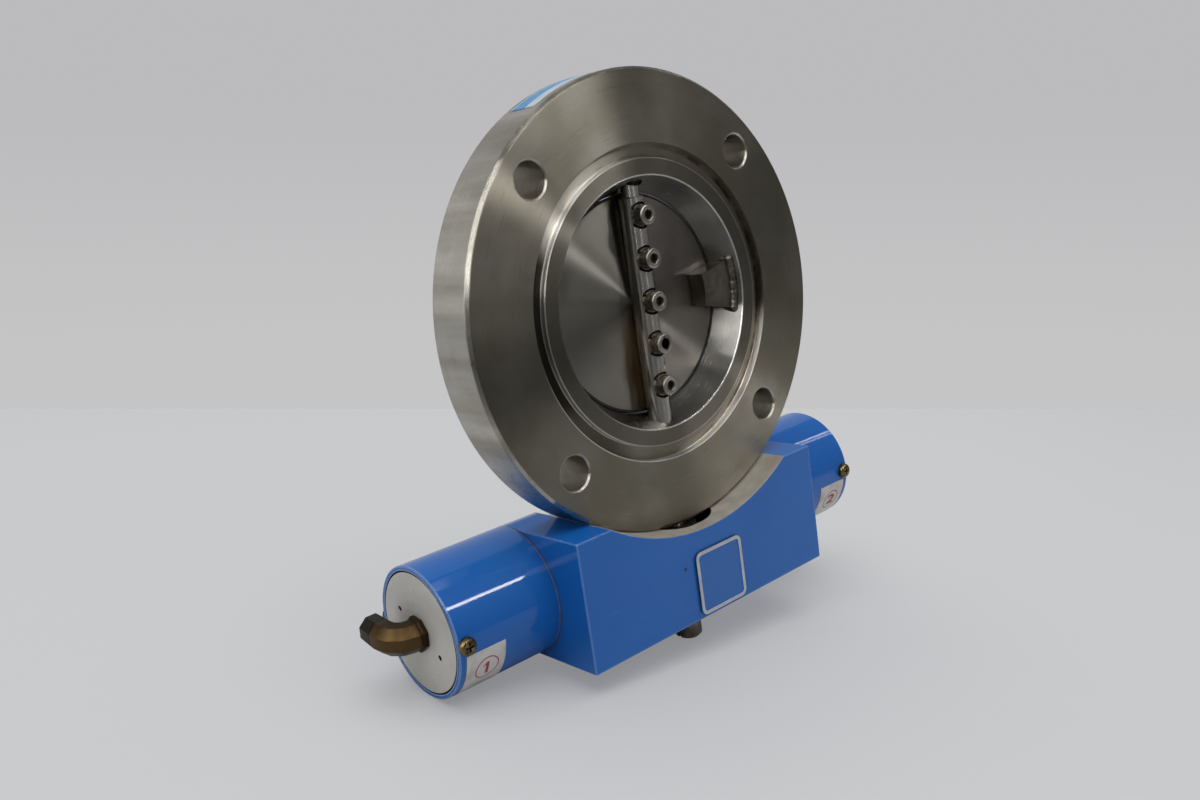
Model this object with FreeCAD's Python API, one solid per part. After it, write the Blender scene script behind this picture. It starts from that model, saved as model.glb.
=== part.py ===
import FreeCAD, Part
import math
import os

os.makedirs("parts", exist_ok=True)
V = FreeCAD.Vector

# Butterfly throttle valve with a double-acting rack and pinion air actuator.
# Millimetres. Origin where the bore axis (along Y) crosses the shaft axis (along Z).
# -Y is the open front of the valve, +Z points away from the actuator.

# Valve body, a size 80 vacuum flange
flange_radius = 80.0
flange_thickness = 20.0
shaft_setback = 7.5
bolt_circle_inset = 12.5
bolt_hole_radius = 6.0
bolt_count = 4
bolt_start_angle = 45.0
bolt_hole_chamfer = 0.6
rim_chamfer = 1.2
groove_inner_radius = 50.0
groove_width = 5.0
groove_depth = 2.8
land_recess = 0.7
bore_radius = 39.2
mouth_flare = 4.8
bore_chamfer = 1.0
cone_lead = 0.3

# Disc and its stop
disc_gap = 0.9
disc_thickness = 3.0
disc_flat_depth = 0.4
disc_chamfer = 0.4
stop_length = 11.8
stop_half_angle = 12.4
stop_setback = 4.0
stop_gap = 0.3
seat_inset = 2.2
seat_thickness = 2.0
seat_gap = 0.3
seat_start = 101.7
swing_clearance = 0.26
weld_radius = 2.5
weld_corner_radius = 2.75

# Disc shaft
shaft_radius = 4.5
shaft_top_gap = 1.9
shaft_chamfer = 0.4
top_journal_radius = 3.2
top_journal_length = 10.2
drive_journal_radius = 4.0
drive_journal_depth = 8.3
shoulder_depth = 5.8
shaft_hole_spare = 1.0
hole_clearance = 0.15
running_clearance = 0.04
close_clearance = 0.05

# Screws that hold the disc
disc_screw_radius = 2.0
disc_screw_head_radius = 3.5
disc_screw_head_height = 4.0
disc_screw_head_chamfer = 0.4
disc_screw_hex = 3.0
disc_screw_socket_depth = 2.2
disc_screw_end_setback = 0.2
disc_screw_margin = 8.3
disc_screw_count = 5
disc_screw_shift = 0.8
spot_face_depth = 1.5
spot_face_radius = 4.7
spring_washer_radius = 3.8
spring_washer_thickness = 0.95
spring_washer_split = 0.6
spring_washer_turn = 40.0

# Bushes and seals in the valve body
top_bush_recess = 3.3
top_bush_length = 5.8
top_hole_spare = 0.3
shaft_bush_radius = 6.0
shaft_bush_length = 10.0
shaft_bush_end = 22.0
shaft_seal_cord = 0.95
shaft_seal_space = 0.4
retainer_length = 4.5
retainer_recess = 0.5

# Rack and pinion
gear_module = 1.0
pinion_teeth = 20
pressure_angle = 20.0
addendum = 0.95
dedendum = 1.25
backlash = 0.12
flank_steps = 5
gear_width = 10.0
hub_radius = 8.0
hub_height = 3.2
hub_pin_radius = 1.0
hub_pin_setback = 0.2
rack_depth = 16.0
rack_tooth_count = 11
rack_clearance = 0.3
rack_guide_length = 40.0
rack_guide_height = 8.0
rack_guide_thickness = 2.3
stub_radius = 5.0
stub_end_drop = 13.5
stub_chamfer = 1.0
stub_slot_width = 1.5
stub_slot_depth = 2.0
bush_wall = 2.0
thrust_space = 1.0
thrust_washer_thickness = 0.8
thrust_washer_radius = 8.5
circlip_thickness = 1.0
circlip_radius = 7.3
circlip_depth = 0.5
circlip_drop = 0.3
circlip_slit = 5.0

# Actuator housing
block_half_length = 59.4
block_front = 17.5
block_edge = 0.4
cradle_clearance = 0.1
pocket_clearance = 0.85
pocket_shift = 3.0
axis_behind_pitch = 9.5
axis_below_rim = 9.7
vent_radius = 1.5
vent_x = 29.7

# Screws that hold the valve body on the housing
body_screw_x = 30.0
body_screw_radius = 2.5
body_screw_head_radius = 4.25
body_screw_head_height = 5.0
body_screw_hex = 4.0
body_screw_sink = 6.0
body_screw_grip = 12.0
body_screw_clearance = 0.25
body_screw_head_clearance = 0.4
tapping_spare = 2.0

# Cylinder tubes and end caps
tube_radius = 22.8
tube_wall = 1.55
tube_base = 4.0
tube_base_clearance = 0.6
tube_edge = 0.3
tube_screw_inset = 4.25
tube_screw_radius = 1.5
tube_screw_head_radius = 2.8
tube_screw_head_height = 1.7
tube_screw_length = 9.0
tube_screw_hex = 2.0
tube_screw_socket_depth = 1.0
tube_screw_count = 4
cap_thickness = 10.0
cap_gap = 0.3
cap_chamfer = 0.4
cap_seal_cord = 0.9
cap_seal_offset = 2.4
cap_port_radius = 4.8
spanner_hole_radius = 1.0
spanner_hole_circle = 12.0
spanner_hole_angle = 31.0
spanner_hole_depth = 4.0
cap_screw_setback = 3.0
cap_screw_radius = 1.5
cap_screw_head_radius = 3.0
cap_screw_head_height = 2.2
cap_screw_length = 7.5
cap_screw_rounding = 1.3
cap_screw_count = 2
cross_width = 0.7
cross_length = 3.2
cross_depth = 1.1

# Pistons
piston_thickness = 9.0
piston_start_clearance = 0.5
piston_end_clearance = 1.4
piston_seal_cord = 0.9
piston_seal_setback = 3.0
wear_ring_width = 2.4
wear_ring_depth = 1.0
wear_ring_offset = 2.2
wear_ring_split = 1.0
piston_bolt_radius = 3.0
piston_bolt_head_radius = 5.0
piston_bolt_head_height = 5.5
piston_bolt_hex = 5.0
piston_bolt_length = 12.0
piston_bolt_sink = 0.2
screw_hole_spare = 1.0

# Elbow fittings
elbow_flats = 10.0
elbow_end_flats = 9.2
elbow_collar_flats = 11.5
elbow_collar_length = 1.8
elbow_reach = 9.0
elbow_leg = 15.0
elbow_bend_gap = 0.8
elbow_turn = 8.0
elbow_thread_setback = 1.0
elbow_bore_radius = 2.5

# Nameplate and labels
plate_side = 23.4
plate_centre_x = 2.7
plate_below_axis = 9.65
plate_thickness = 1.0
plate_corner = 2.6
plate_frame = 1.3
plate_field_depth = 0.25
label_thickness = 0.15
port_label_setback = 2.5
port_label_width = 15.2
port_label_start = 9.5
port_label_end = 66.0
rim_label_setback = 4.0
rim_label_width = 12.5
rim_label_start = 97.0
rim_label_end = 119.0

# Places worked out from the sizes above
front_y = -shaft_setback
back_y = flange_thickness - shaft_setback
land_y = front_y + land_recess
groove_floor_y = front_y + groove_depth
groove_outer_radius = groove_inner_radius + groove_width
mouth_radius = bore_radius + mouth_flare
bolt_circle_radius = flange_radius - bolt_circle_inset
disc_radius = bore_radius - disc_gap
disc_front_y = shaft_radius - disc_flat_depth
disc_back_y = disc_front_y + disc_thickness
cone_back_y = disc_front_y - cone_lead
stop_inner_radius = bore_radius - stop_length
stop_front_y = front_y + stop_setback
stop_back_y = disc_front_y - stop_gap
seat_y = disc_back_y + seat_gap
back_bore_radius = math.sqrt(disc_radius ** 2 + disc_back_y ** 2 - seat_y ** 2) + swing_clearance

shaft_hole_radius = shaft_radius + hole_clearance
shaft_top = bore_radius - shaft_top_gap
shoulder_z = -(bore_radius + shoulder_depth)
shaft_hole_end_z = shoulder_z - shaft_hole_spare
spot_face_y = -(shaft_radius - spot_face_depth)
disc_screw_pitch = 2 * (disc_radius - disc_screw_margin) / (disc_screw_count - 1)
top_journal_end_z = shaft_top + top_journal_length
top_bush_z = bore_radius + top_bush_recess
top_hole_end_z = max(top_bush_z + top_bush_length, top_journal_end_z) + top_hole_spare
bush_top_z = -(flange_radius - shaft_bush_end)
bush_bottom_z = bush_top_z - shaft_bush_length
drive_hole_radius = drive_journal_radius + running_clearance
retainer_bottom_z = -(flange_radius - retainer_recess)
retainer_top_z = retainer_bottom_z + retainer_length

pitch_radius = gear_module * pinion_teeth / 2
cylinder_axis_y = pitch_radius + axis_behind_pitch
cylinder_axis_z = -(flange_radius + axis_below_rim)
block_top_z = cylinder_axis_z + tube_radius
block_bottom_z = cylinder_axis_z - tube_radius
block_front_y = -block_front
block_back_y = cylinder_axis_y + tube_radius
cradle_radius = flange_radius + cradle_clearance

tooth_pitch = math.pi * gear_module
tip_radius = pitch_radius + addendum
root_radius = pitch_radius - dedendum
pocket_radius = tip_radius + pocket_clearance
gear_top_z = cylinder_axis_z + gear_width / 2
gear_bottom_z = cylinder_axis_z - gear_width / 2
hub_top_z = gear_top_z + hub_height
hub_pin_z = gear_top_z + hub_height / 2
pocket_floor_z = gear_bottom_z - thrust_space
drive_journal_end_z = gear_top_z - drive_journal_depth
stub_end_z = block_bottom_z - stub_end_drop
bush_outer_radius = stub_radius + bush_wall
circlip_top_z = block_bottom_z - circlip_drop
circlip_bottom_z = circlip_top_z - circlip_thickness

stroke = pitch_radius * math.pi / 2
rack_tip_y = pitch_radius - addendum
rack_root_y = pitch_radius + dedendum
rack_back_y = pitch_radius + rack_depth
tube_base_hole = math.hypot(cylinder_axis_y - rack_tip_y, gear_width / 2) + tube_base_clearance
chamber_start_x = block_half_length + tube_base
left_piston_x = -(chamber_start_x + piston_start_clearance)
right_piston_x = stroke - left_piston_x
cap_inner_x = right_piston_x + piston_thickness + piston_end_clearance
tube_end_x = cap_inner_x + cap_thickness
cap_screw_x = tube_end_x - cap_screw_setback
cap_seal_x = cap_inner_x + cap_seal_offset
cylinder_radius = tube_radius - tube_wall
tube_screw_circle = cylinder_radius - tube_screw_inset
cap_radius = cylinder_radius - cap_gap
piston_radius = cylinder_radius - close_clearance
piston_seal_offset = piston_thickness - piston_seal_setback
piston_bolt_seat = piston_thickness - piston_bolt_head_height - piston_bolt_sink
elbow_thread_length = cap_thickness - elbow_thread_setback
AXIS_Y = V(0, 1, 0)
AXIS_Z = V(0, 0, 1)


def cyl_x(radius, x0, x1, y=cylinder_axis_y, z=cylinder_axis_z):
    """A cylinder along X, on the actuator's axis unless y and z say otherwise."""
    return Part.makeCylinder(radius, x1 - x0, V(x0, y, z), V(1, 0, 0))


def cyl_y(radius, y0, y1, x=0.0, z=0.0):
    return Part.makeCylinder(radius, y1 - y0, V(x, y0, z), AXIS_Y)


def cyl_z(radius, z0, z1, x=0.0, y=0.0):
    return Part.makeCylinder(radius, z1 - z0, V(x, y, z0), AXIS_Z)


def tube_z(outer, inner, z0, z1):
    return cyl_z(outer, z0, z1).cut(cyl_z(inner, z0, z1))


def box(x0, x1, y0, y1, z0, z1):
    return Part.makeBox(x1 - x0, y1 - y0, z1 - z0, V(x0, y0, z0))


def prism(points, direction):
    """A straight prism from a closed outline and the vector it is pushed along."""
    return Part.Face(Part.makePolygon(points + [points[0]])).extrude(direction)


def turned_y(outline):
    """A solid turned about the Y axis from (radius, y) points."""
    points = [V(radius, y, 0) for radius, y in outline]
    return Part.Face(Part.makePolygon(points + [points[0]])).revolve(V(0, 0, 0), AXIS_Y, 360)


def turned_x(outline):
    """A solid turned about the actuator's axis from (x, radius) points."""
    centre = V(0, cylinder_axis_y, cylinder_axis_z)
    points = [centre + V(x, radius, 0) for x, radius in outline]
    return Part.Face(Part.makePolygon(points + [points[0]])).revolve(centre, V(1, 0, 0), 360)


def ring_sector(inner, outer, start, end, place, push):
    """A piece of a ring between two angles. place turns (radius, angle) into a point."""
    middle = (start + end) / 2
    edges = [
        Part.LineSegment(place(inner, start), place(outer, start)),
        Part.Arc(place(outer, start), place(outer, middle), place(outer, end)),
        Part.LineSegment(place(outer, end), place(inner, end)),
        Part.Arc(place(inner, end), place(inner, middle), place(inner, start)),
    ]
    return Part.Face(Part.Wire([edge.toShape() for edge in edges])).extrude(push)


def around_bore(y):
    """Places points by radius and angle about the bore axis, angle 0 at +X and 90 at +Z."""
    def place(radius, angle):
        turn = math.radians(angle)
        return V(radius * math.cos(turn), y, radius * math.sin(turn))
    return place


def around_cylinder(x):
    """Places points about the actuator's axis, angle 0 at the front and positive downwards."""
    def place(radius, angle):
        turn = math.radians(angle)
        return V(
            x,
            cylinder_axis_y - radius * math.cos(turn),
            cylinder_axis_z - radius * math.sin(turn),
        )
    return place


def hexagon(flats, centre, first, second, depth):
    """A hexagonal prism on two unit vectors, pushed along depth."""
    corner = flats / math.sqrt(3)
    turns = [math.radians(60 * step) for step in range(6)]
    points = [
        centre + first * (corner * math.cos(turn)) + second * (corner * math.sin(turn))
        for turn in turns
    ]
    return prism(points, depth)


def mirrored(shape):
    return shape.mirror(V(0, 0, 0), V(1, 0, 0))


def cone_radius(y):
    """Radius of the bore's cone at a depth between its mouth and the disc."""
    share = (y - land_y) / (cone_back_y - land_y)
    return mouth_radius + (bore_radius - mouth_radius) * share


def save(name, *solids):
    """Writes one node, a single solid or a group of separate solids."""
    shape = solids[0] if len(solids) == 1 else Part.makeCompound(list(solids))
    shape.exportStep("parts/" + name + ".step")


# Valve body

def bolt_places():
    step = 360.0 / bolt_count
    place = around_bore(0)
    return [place(bolt_circle_radius, bolt_start_angle + step * index) for index in range(bolt_count)]


def bolt_hole(centre):
    """A through hole with a small chamfer at each face."""
    hole = cyl_y(bolt_hole_radius, front_y, back_y, centre.x, centre.z)
    wide = bolt_hole_radius + bolt_hole_chamfer
    front = Part.makeCone(
        wide, bolt_hole_radius, bolt_hole_chamfer, V(centre.x, front_y, centre.z), AXIS_Y
    )
    back = Part.makeCone(
        wide, bolt_hole_radius, bolt_hole_chamfer, V(centre.x, back_y, centre.z), V(0, -1, 0)
    )
    return hole.fuse([front, back])


def body_screw_reach(x):
    """Height of the rim above a body screw at x."""
    return -math.sqrt(cradle_radius ** 2 - x ** 2)


def disc_seat():
    """Half ring in the bore behind the left half of the disc, which closes against it."""
    return ring_sector(
        bore_radius - seat_inset, bore_radius + bore_chamfer, seat_start, 360 - seat_start,
        around_bore(seat_y), V(0, seat_thickness, 0),
    )


def valve_body():
    body = turned_y([
        (back_bore_radius, back_y - bore_chamfer),
        (back_bore_radius, seat_y),
        (bore_radius, seat_y),
        (bore_radius, cone_back_y),
        (mouth_radius, land_y),
        (groove_inner_radius, land_y),
        (groove_inner_radius, groove_floor_y),
        (groove_outer_radius, groove_floor_y),
        (groove_outer_radius, front_y),
        (flange_radius - rim_chamfer, front_y),
        (flange_radius, front_y + rim_chamfer),
        (flange_radius, back_y - rim_chamfer),
        (flange_radius - rim_chamfer, back_y),
        (back_bore_radius + bore_chamfer, back_y),
    ]).fuse(disc_seat())
    cuts = [bolt_hole(centre) for centre in bolt_places()]
    cuts.append(cyl_z(shaft_hole_radius, 0, top_hole_end_z))
    cuts.append(cyl_z(shaft_hole_radius, shaft_hole_end_z, 0))
    cuts.append(cyl_z(drive_hole_radius, -flange_radius, 0))
    cuts.append(cyl_z(shaft_bush_radius, -flange_radius, bush_top_z))
    for side in (-1, 1):
        x = side * body_screw_x
        start = body_screw_reach(x)
        cuts.append(cyl_z(
            body_screw_radius + close_clearance, -flange_radius, start + body_screw_grip + tapping_spare, x
        ))
    return body.cut(cuts)


def bore_space():
    """The open space inside the bore, from its mouth to its back."""
    return turned_y([
        (0, land_y),
        (mouth_radius, land_y),
        (bore_radius, cone_back_y),
        (bore_radius, back_y),
        (0, back_y),
    ])


def disc_stop():
    block = ring_sector(
        stop_inner_radius, mouth_radius, -stop_half_angle, stop_half_angle,
        around_bore(stop_front_y), V(0, stop_back_y - stop_front_y, 0),
    )
    return block.common(bore_space())


def stop_weld():
    """A weld bead along the two sides and the front of the stop, where it meets the wall."""
    radius = cone_radius(stop_front_y)
    turn = math.radians(stop_half_angle)
    start = around_bore(stop_front_y)(radius, -stop_half_angle)
    section = Part.makeCircle(weld_radius, start, V(math.sin(turn), 0, math.cos(turn)))
    front = Part.Face(Part.Wire(section)).revolve(V(0, 0, 0), V(0, -1, 0), 2 * stop_half_angle)
    sides = []
    for angle in (-stop_half_angle, stop_half_angle):
        corner = around_bore(stop_front_y)(radius, angle)
        run = around_bore(stop_back_y)(cone_radius(stop_back_y), angle) - corner
        sides.append(Part.makeCylinder(weld_radius, run.Length, corner, run))
        sides.append(Part.makeSphere(weld_corner_radius, corner))
    behind = box(0, flange_radius, stop_back_y, back_y, -flange_radius, flange_radius)
    return front.fuse(sides).common(bore_space()).cut([disc_stop(), behind])


def top_bush():
    return tube_z(
        shaft_hole_radius, top_journal_radius + running_clearance,
        top_bush_z, top_bush_z + top_bush_length,
    )


def shaft_bush():
    return tube_z(shaft_bush_radius, drive_hole_radius, bush_bottom_z, bush_top_z)


def shaft_seals():
    """Two O-rings on the drive journal, below the bush."""
    centre_radius = drive_hole_radius + shaft_seal_cord
    first = bush_bottom_z - shaft_seal_space - shaft_seal_cord
    second = first - 2 * shaft_seal_cord - shaft_seal_space
    return [Part.makeTorus(centre_radius, shaft_seal_cord, V(0, 0, z)) for z in (first, second)]


def seal_retainer():
    return tube_z(
        shaft_bush_radius, drive_journal_radius + rack_clearance, retainer_bottom_z, retainer_top_z
    )


# Disc and shaft

def screw_heights():
    middle = (disc_screw_count - 1) / 2
    return [disc_screw_shift + disc_screw_pitch * (index - middle) for index in range(disc_screw_count)]


def throttle_disc():
    disc = turned_y([
        (0, disc_front_y),
        (disc_radius - disc_chamfer, disc_front_y),
        (disc_radius, disc_front_y + disc_chamfer),
        (disc_radius, disc_back_y - disc_chamfer),
        (disc_radius - disc_chamfer, disc_back_y),
        (0, disc_back_y),
    ])
    hole = disc_screw_radius + close_clearance
    return disc.cut([cyl_y(hole, disc_front_y, disc_back_y, z=height) for height in screw_heights()])


def disc_shaft():
    """Round bar with a flat for the disc, spot faces for the screws and a journal at each end."""
    bar = Part.Face(Part.makePolygon([
        V(0, 0, drive_journal_end_z),
        V(drive_journal_radius - shaft_chamfer, 0, drive_journal_end_z),
        V(drive_journal_radius, 0, drive_journal_end_z + shaft_chamfer),
        V(drive_journal_radius, 0, shoulder_z),
        V(shaft_radius, 0, shoulder_z),
        V(shaft_radius, 0, shaft_top - shaft_chamfer),
        V(shaft_radius - shaft_chamfer, 0, shaft_top),
        V(top_journal_radius, 0, shaft_top),
        V(top_journal_radius, 0, top_journal_end_z - shaft_chamfer),
        V(top_journal_radius - shaft_chamfer, 0, top_journal_end_z),
        V(0, 0, top_journal_end_z),
        V(0, 0, drive_journal_end_z),
    ])).revolve(V(0, 0, 0), AXIS_Z, 360)
    cuts = [box(
        -shaft_radius, shaft_radius, disc_front_y, shaft_radius,
        -disc_radius - hole_clearance, shaft_top,
    )]
    for height in screw_heights():
        cuts.append(cyl_y(spot_face_radius, -shaft_radius, spot_face_y, z=height))
        cuts.append(cyl_y(disc_screw_radius + close_clearance, -shaft_radius, shaft_radius, z=height))
    cuts.append(cyl_x(hub_pin_radius + close_clearance, -hub_radius, hub_radius, 0, hub_pin_z))
    return bar.cut(cuts)


def disc_screw(height):
    """Socket head cap screw, its head towards the front of the valve."""
    under = spot_face_y - spring_washer_thickness
    top = under - disc_screw_head_height
    head = turned_y([
        (0, top),
        (disc_screw_head_radius - disc_screw_head_chamfer, top),
        (disc_screw_head_radius, top + disc_screw_head_chamfer),
        (disc_screw_head_radius, under),
        (0, under),
    ])
    shank = cyl_y(disc_screw_radius, under, disc_back_y - disc_screw_end_setback)
    socket = hexagon(
        disc_screw_hex, V(0, top, 0), V(0, 0, 1), V(1, 0, 0), V(0, disc_screw_socket_depth, 0)
    )
    screw = head.fuse(shank).cut(socket)
    screw.translate(V(0, 0, height))
    return screw


def spring_washer(height):
    top = spot_face_y - spring_washer_thickness
    ring = cyl_y(spring_washer_radius, top, spot_face_y)
    ring = ring.cut(cyl_y(disc_screw_radius + 2 * close_clearance, top, spot_face_y))
    half = spring_washer_split / 2
    slit = box(-spring_washer_radius, 0, top, spot_face_y, -half, half)
    slit.rotate(V(0, 0, 0), AXIS_Y, spring_washer_turn)
    ring = ring.cut(slit)
    ring.translate(V(0, 0, height))
    return ring


# Rack and pinion

def involute(angle):
    return math.tan(angle) - angle


def flank(turn, side):
    """Points up one flank of a pinion tooth whose middle is at turn, from root to tip."""
    pressure = math.radians(pressure_angle)
    base = pitch_radius * math.cos(pressure)
    half = math.pi / (2 * pinion_teeth) - backlash / (4 * pitch_radius) + involute(pressure)
    start = max(base, root_radius)
    rise = (tip_radius - start) / flank_steps
    radii = [root_radius] + [start + rise * step for step in range(flank_steps + 1)]
    points = []
    for radius in radii:
        rolled = involute(math.acos(min(1.0, base / radius)))
        angle = turn + side * (half - rolled)
        points.append(V(radius * math.cos(angle), radius * math.sin(angle), gear_bottom_z))
    return points


def pinion():
    """Gear with a pinned hub above it and a stub shaft that comes out below the housing."""
    points = []
    for tooth in range(pinion_teeth):
        turn = math.pi / 2 + 2 * math.pi * (tooth + 0.5) / pinion_teeth
        points += flank(turn, -1)
        points += reversed(flank(turn, 1))
    gear = prism(points, V(0, 0, gear_width))
    stub = cyl_z(stub_radius, stub_end_z + stub_chamfer, gear_bottom_z)
    nose = Part.makeCone(
        stub_radius - stub_chamfer, stub_radius, stub_chamfer, V(0, 0, stub_end_z), AXIS_Z
    )
    shape = gear.fuse([cyl_z(hub_radius, gear_top_z, hub_top_z), stub, nose])
    groove = tube_z(
        circlip_radius, stub_radius - circlip_depth,
        circlip_bottom_z - close_clearance, circlip_top_z + close_clearance,
    )
    slot_half = stub_slot_width / 2
    slot = box(
        -stub_radius, stub_radius, -slot_half, slot_half, stub_end_z, stub_end_z + stub_slot_depth
    )
    socket = cyl_z(
        drive_journal_radius + close_clearance, drive_journal_end_z - close_clearance, hub_top_z
    )
    pin_hole = cyl_x(hub_pin_radius + close_clearance, -hub_radius, hub_radius, 0, hub_pin_z)
    return shape.cut([groove, slot, socket, pin_hole])


def hub_pin():
    reach = hub_radius - hub_pin_setback
    return cyl_x(hub_pin_radius, -reach, reach, 0, hub_pin_z)


def circlip():
    ring = tube_z(
        circlip_radius, stub_radius - circlip_depth + close_clearance, circlip_bottom_z, circlip_top_z
    )
    slit = box(
        -circlip_slit / 2, circlip_slit / 2, 0, circlip_radius, circlip_bottom_z, circlip_top_z
    )
    return ring.cut(slit)


def thrust_washer():
    return tube_z(
        thrust_washer_radius, stub_radius + close_clearance,
        pocket_floor_z, pocket_floor_z + thrust_washer_thickness,
    )


def pinion_bush():
    return tube_z(
        bush_outer_radius, stub_radius + running_clearance, block_bottom_z, pocket_floor_z
    )


def rack_bar():
    """Square bar with teeth on its front, a tapped hole in each end for the piston bolts."""
    slope = math.tan(math.radians(pressure_angle))
    pitch_half = tooth_pitch / 4 - backlash / 4
    tip_half = pitch_half - addendum * slope
    root_half = pitch_half + dedendum * slope
    bottom = cylinder_axis_z - gear_width / 2
    middle = round(stroke / 2 / tooth_pitch)
    first = middle - rack_tooth_count // 2
    points = [V(left_piston_x, rack_root_y, bottom)]
    for index in range(first, first + rack_tooth_count):
        x = index * tooth_pitch
        points.append(V(x - root_half, rack_root_y, bottom))
        points.append(V(x - tip_half, rack_tip_y, bottom))
        points.append(V(x + tip_half, rack_tip_y, bottom))
        points.append(V(x + root_half, rack_root_y, bottom))
    points.append(V(right_piston_x, rack_root_y, bottom))
    points.append(V(right_piston_x, rack_back_y, bottom))
    points.append(V(left_piston_x, rack_back_y, bottom))
    bar = prism(points, V(0, 0, gear_width))
    hole = piston_bolt_radius + close_clearance
    deep = piston_bolt_length + screw_hole_spare
    return bar.cut([
        cyl_x(hole, left_piston_x, left_piston_x + deep),
        cyl_x(hole, right_piston_x - deep, right_piston_x),
    ])


def rack_guide():
    half = rack_guide_length / 2
    return box(
        -half, half, rack_back_y + close_clearance, rack_back_y + close_clearance + rack_guide_thickness,
        cylinder_axis_z - rack_guide_height / 2, cylinder_axis_z + rack_guide_height / 2,
    )


# Pistons

def piston():
    """A piston whose inner face is at x = 0 and whose outer face looks along +X."""
    floor = piston_radius - 2 * piston_seal_cord - close_clearance
    half = piston_seal_cord + close_clearance
    ring_floor = cylinder_radius - wear_ring_depth - 2 * running_clearance
    outline = [(0, 0), (0, piston_radius)]
    for middle, width, radius in (
        (wear_ring_offset, wear_ring_width / 2 + close_clearance, ring_floor),
        (piston_seal_offset, half, floor),
    ):
        outline += [
            (middle - width, piston_radius),
            (middle - width, radius),
            (middle + width, radius),
            (middle + width, piston_radius),
        ]
    outline += [(piston_thickness, piston_radius), (piston_thickness, 0)]
    shape = turned_x(outline)
    return shape.cut([
        cyl_x(piston_bolt_radius + close_clearance, 0, piston_thickness),
        cyl_x(piston_bolt_head_radius + hole_clearance, piston_bolt_seat, piston_thickness),
    ])


def piston_bolt():
    top = piston_bolt_seat + piston_bolt_head_height
    head = cyl_x(piston_bolt_head_radius, piston_bolt_seat, top)
    shank = cyl_x(piston_bolt_radius, -piston_bolt_length, piston_bolt_seat)
    socket = hexagon(
        piston_bolt_hex, V(top, cylinder_axis_y, cylinder_axis_z), V(0, 1, 0), V(0, 0, 1),
        V(-piston_bolt_head_height / 2, 0, 0),
    )
    return head.fuse(shank).cut(socket)


def piston_seal():
    centre = V(piston_seal_offset, cylinder_axis_y, cylinder_axis_z)
    return Part.makeTorus(piston_radius - piston_seal_cord, piston_seal_cord, centre, V(1, 0, 0))


def wear_ring():
    half = wear_ring_width / 2
    outer = cylinder_radius - running_clearance
    start = wear_ring_offset - half
    end = wear_ring_offset + half
    inner = cylinder_radius - wear_ring_depth - running_clearance
    ring = cyl_x(outer, start, end).cut(cyl_x(inner, start, end))
    slit = box(
        start, end, cylinder_axis_y - wear_ring_split / 2, cylinder_axis_y + wear_ring_split / 2,
        cylinder_axis_z, cylinder_axis_z + tube_radius,
    )
    return ring.cut(slit)


def both_pistons(make):
    """The same piece on the left piston, turned about, and on the right piston."""
    left = mirrored(make())
    left.translate(V(left_piston_x, 0, 0))
    right = make()
    right.translate(V(right_piston_x, 0, 0))
    return left, right


# Actuator housing

def obround_pocket(radius, shift, z0, z1):
    ends = [cyl_z(radius, z0, z1, side * shift) for side in (-1, 1)]
    return ends[0].fuse([ends[1], box(-shift, shift, -radius, radius, z0, z1)])


def block_blank():
    """The painted block, a box whose back is rounded about the actuator's axis."""
    x = -block_half_length
    edges = [
        Part.LineSegment(V(x, cylinder_axis_y, block_bottom_z), V(x, block_front_y, block_bottom_z)),
        Part.LineSegment(V(x, block_front_y, block_bottom_z), V(x, block_front_y, block_top_z)),
        Part.LineSegment(V(x, block_front_y, block_top_z), V(x, cylinder_axis_y, block_top_z)),
        Part.Arc(
            V(x, cylinder_axis_y, block_top_z), V(x, block_back_y, cylinder_axis_z),
            V(x, cylinder_axis_y, block_bottom_z),
        ),
    ]
    face = Part.Face(Part.Wire([edge.toShape() for edge in edges]))
    block = face.extrude(V(2 * block_half_length, 0, 0))
    return block.makeFillet(block_edge, block.Edges)


def tube_screw_places():
    step = 360.0 / tube_screw_count
    turns = [math.radians(step * (index + 0.5)) for index in range(tube_screw_count)]
    return [(
        cylinder_axis_y + tube_screw_circle * math.cos(turn),
        cylinder_axis_z + tube_screw_circle * math.sin(turn),
    ) for turn in turns]


def actuator_housing():
    height = gear_width / 2 + rack_clearance
    guide_half = rack_guide_length / 2
    guide_height = rack_guide_height / 2
    guide_back = rack_back_y + close_clearance + rack_guide_thickness
    cuts = [
        cyl_y(cradle_radius, block_front_y - 1, block_back_y + 1),
        obround_pocket(pocket_radius, pocket_shift, pocket_floor_z, block_top_z),
        cyl_z(bush_outer_radius, block_bottom_z, pocket_floor_z),
        box(
            -block_half_length, block_half_length, rack_tip_y - rack_clearance,
            rack_back_y + rack_clearance, cylinder_axis_z - height, cylinder_axis_z + height,
        ),
        box(
            -guide_half, guide_half, rack_back_y, guide_back,
            cylinder_axis_z - guide_height, cylinder_axis_z + guide_height,
        ),
        cyl_y(vent_radius, rack_back_y, block_back_y + 1, vent_x, cylinder_axis_z),
    ]
    for side in (-1, 1):
        x = side * body_screw_x
        seat = block_bottom_z + body_screw_sink
        cuts.append(cyl_z(body_screw_radius + body_screw_clearance, block_bottom_z, 0, x))
        cuts.append(cyl_z(body_screw_head_radius + body_screw_head_clearance, block_bottom_z, seat, x))
        for y, z in tube_screw_places():
            start = side * block_half_length
            deep = start - side * (tube_screw_length - tube_base + screw_hole_spare)
            cuts.append(cyl_x(
                tube_screw_radius + close_clearance, min(start, deep), max(start, deep), y, z
            ))
    return block_blank().cut(cuts)


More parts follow.
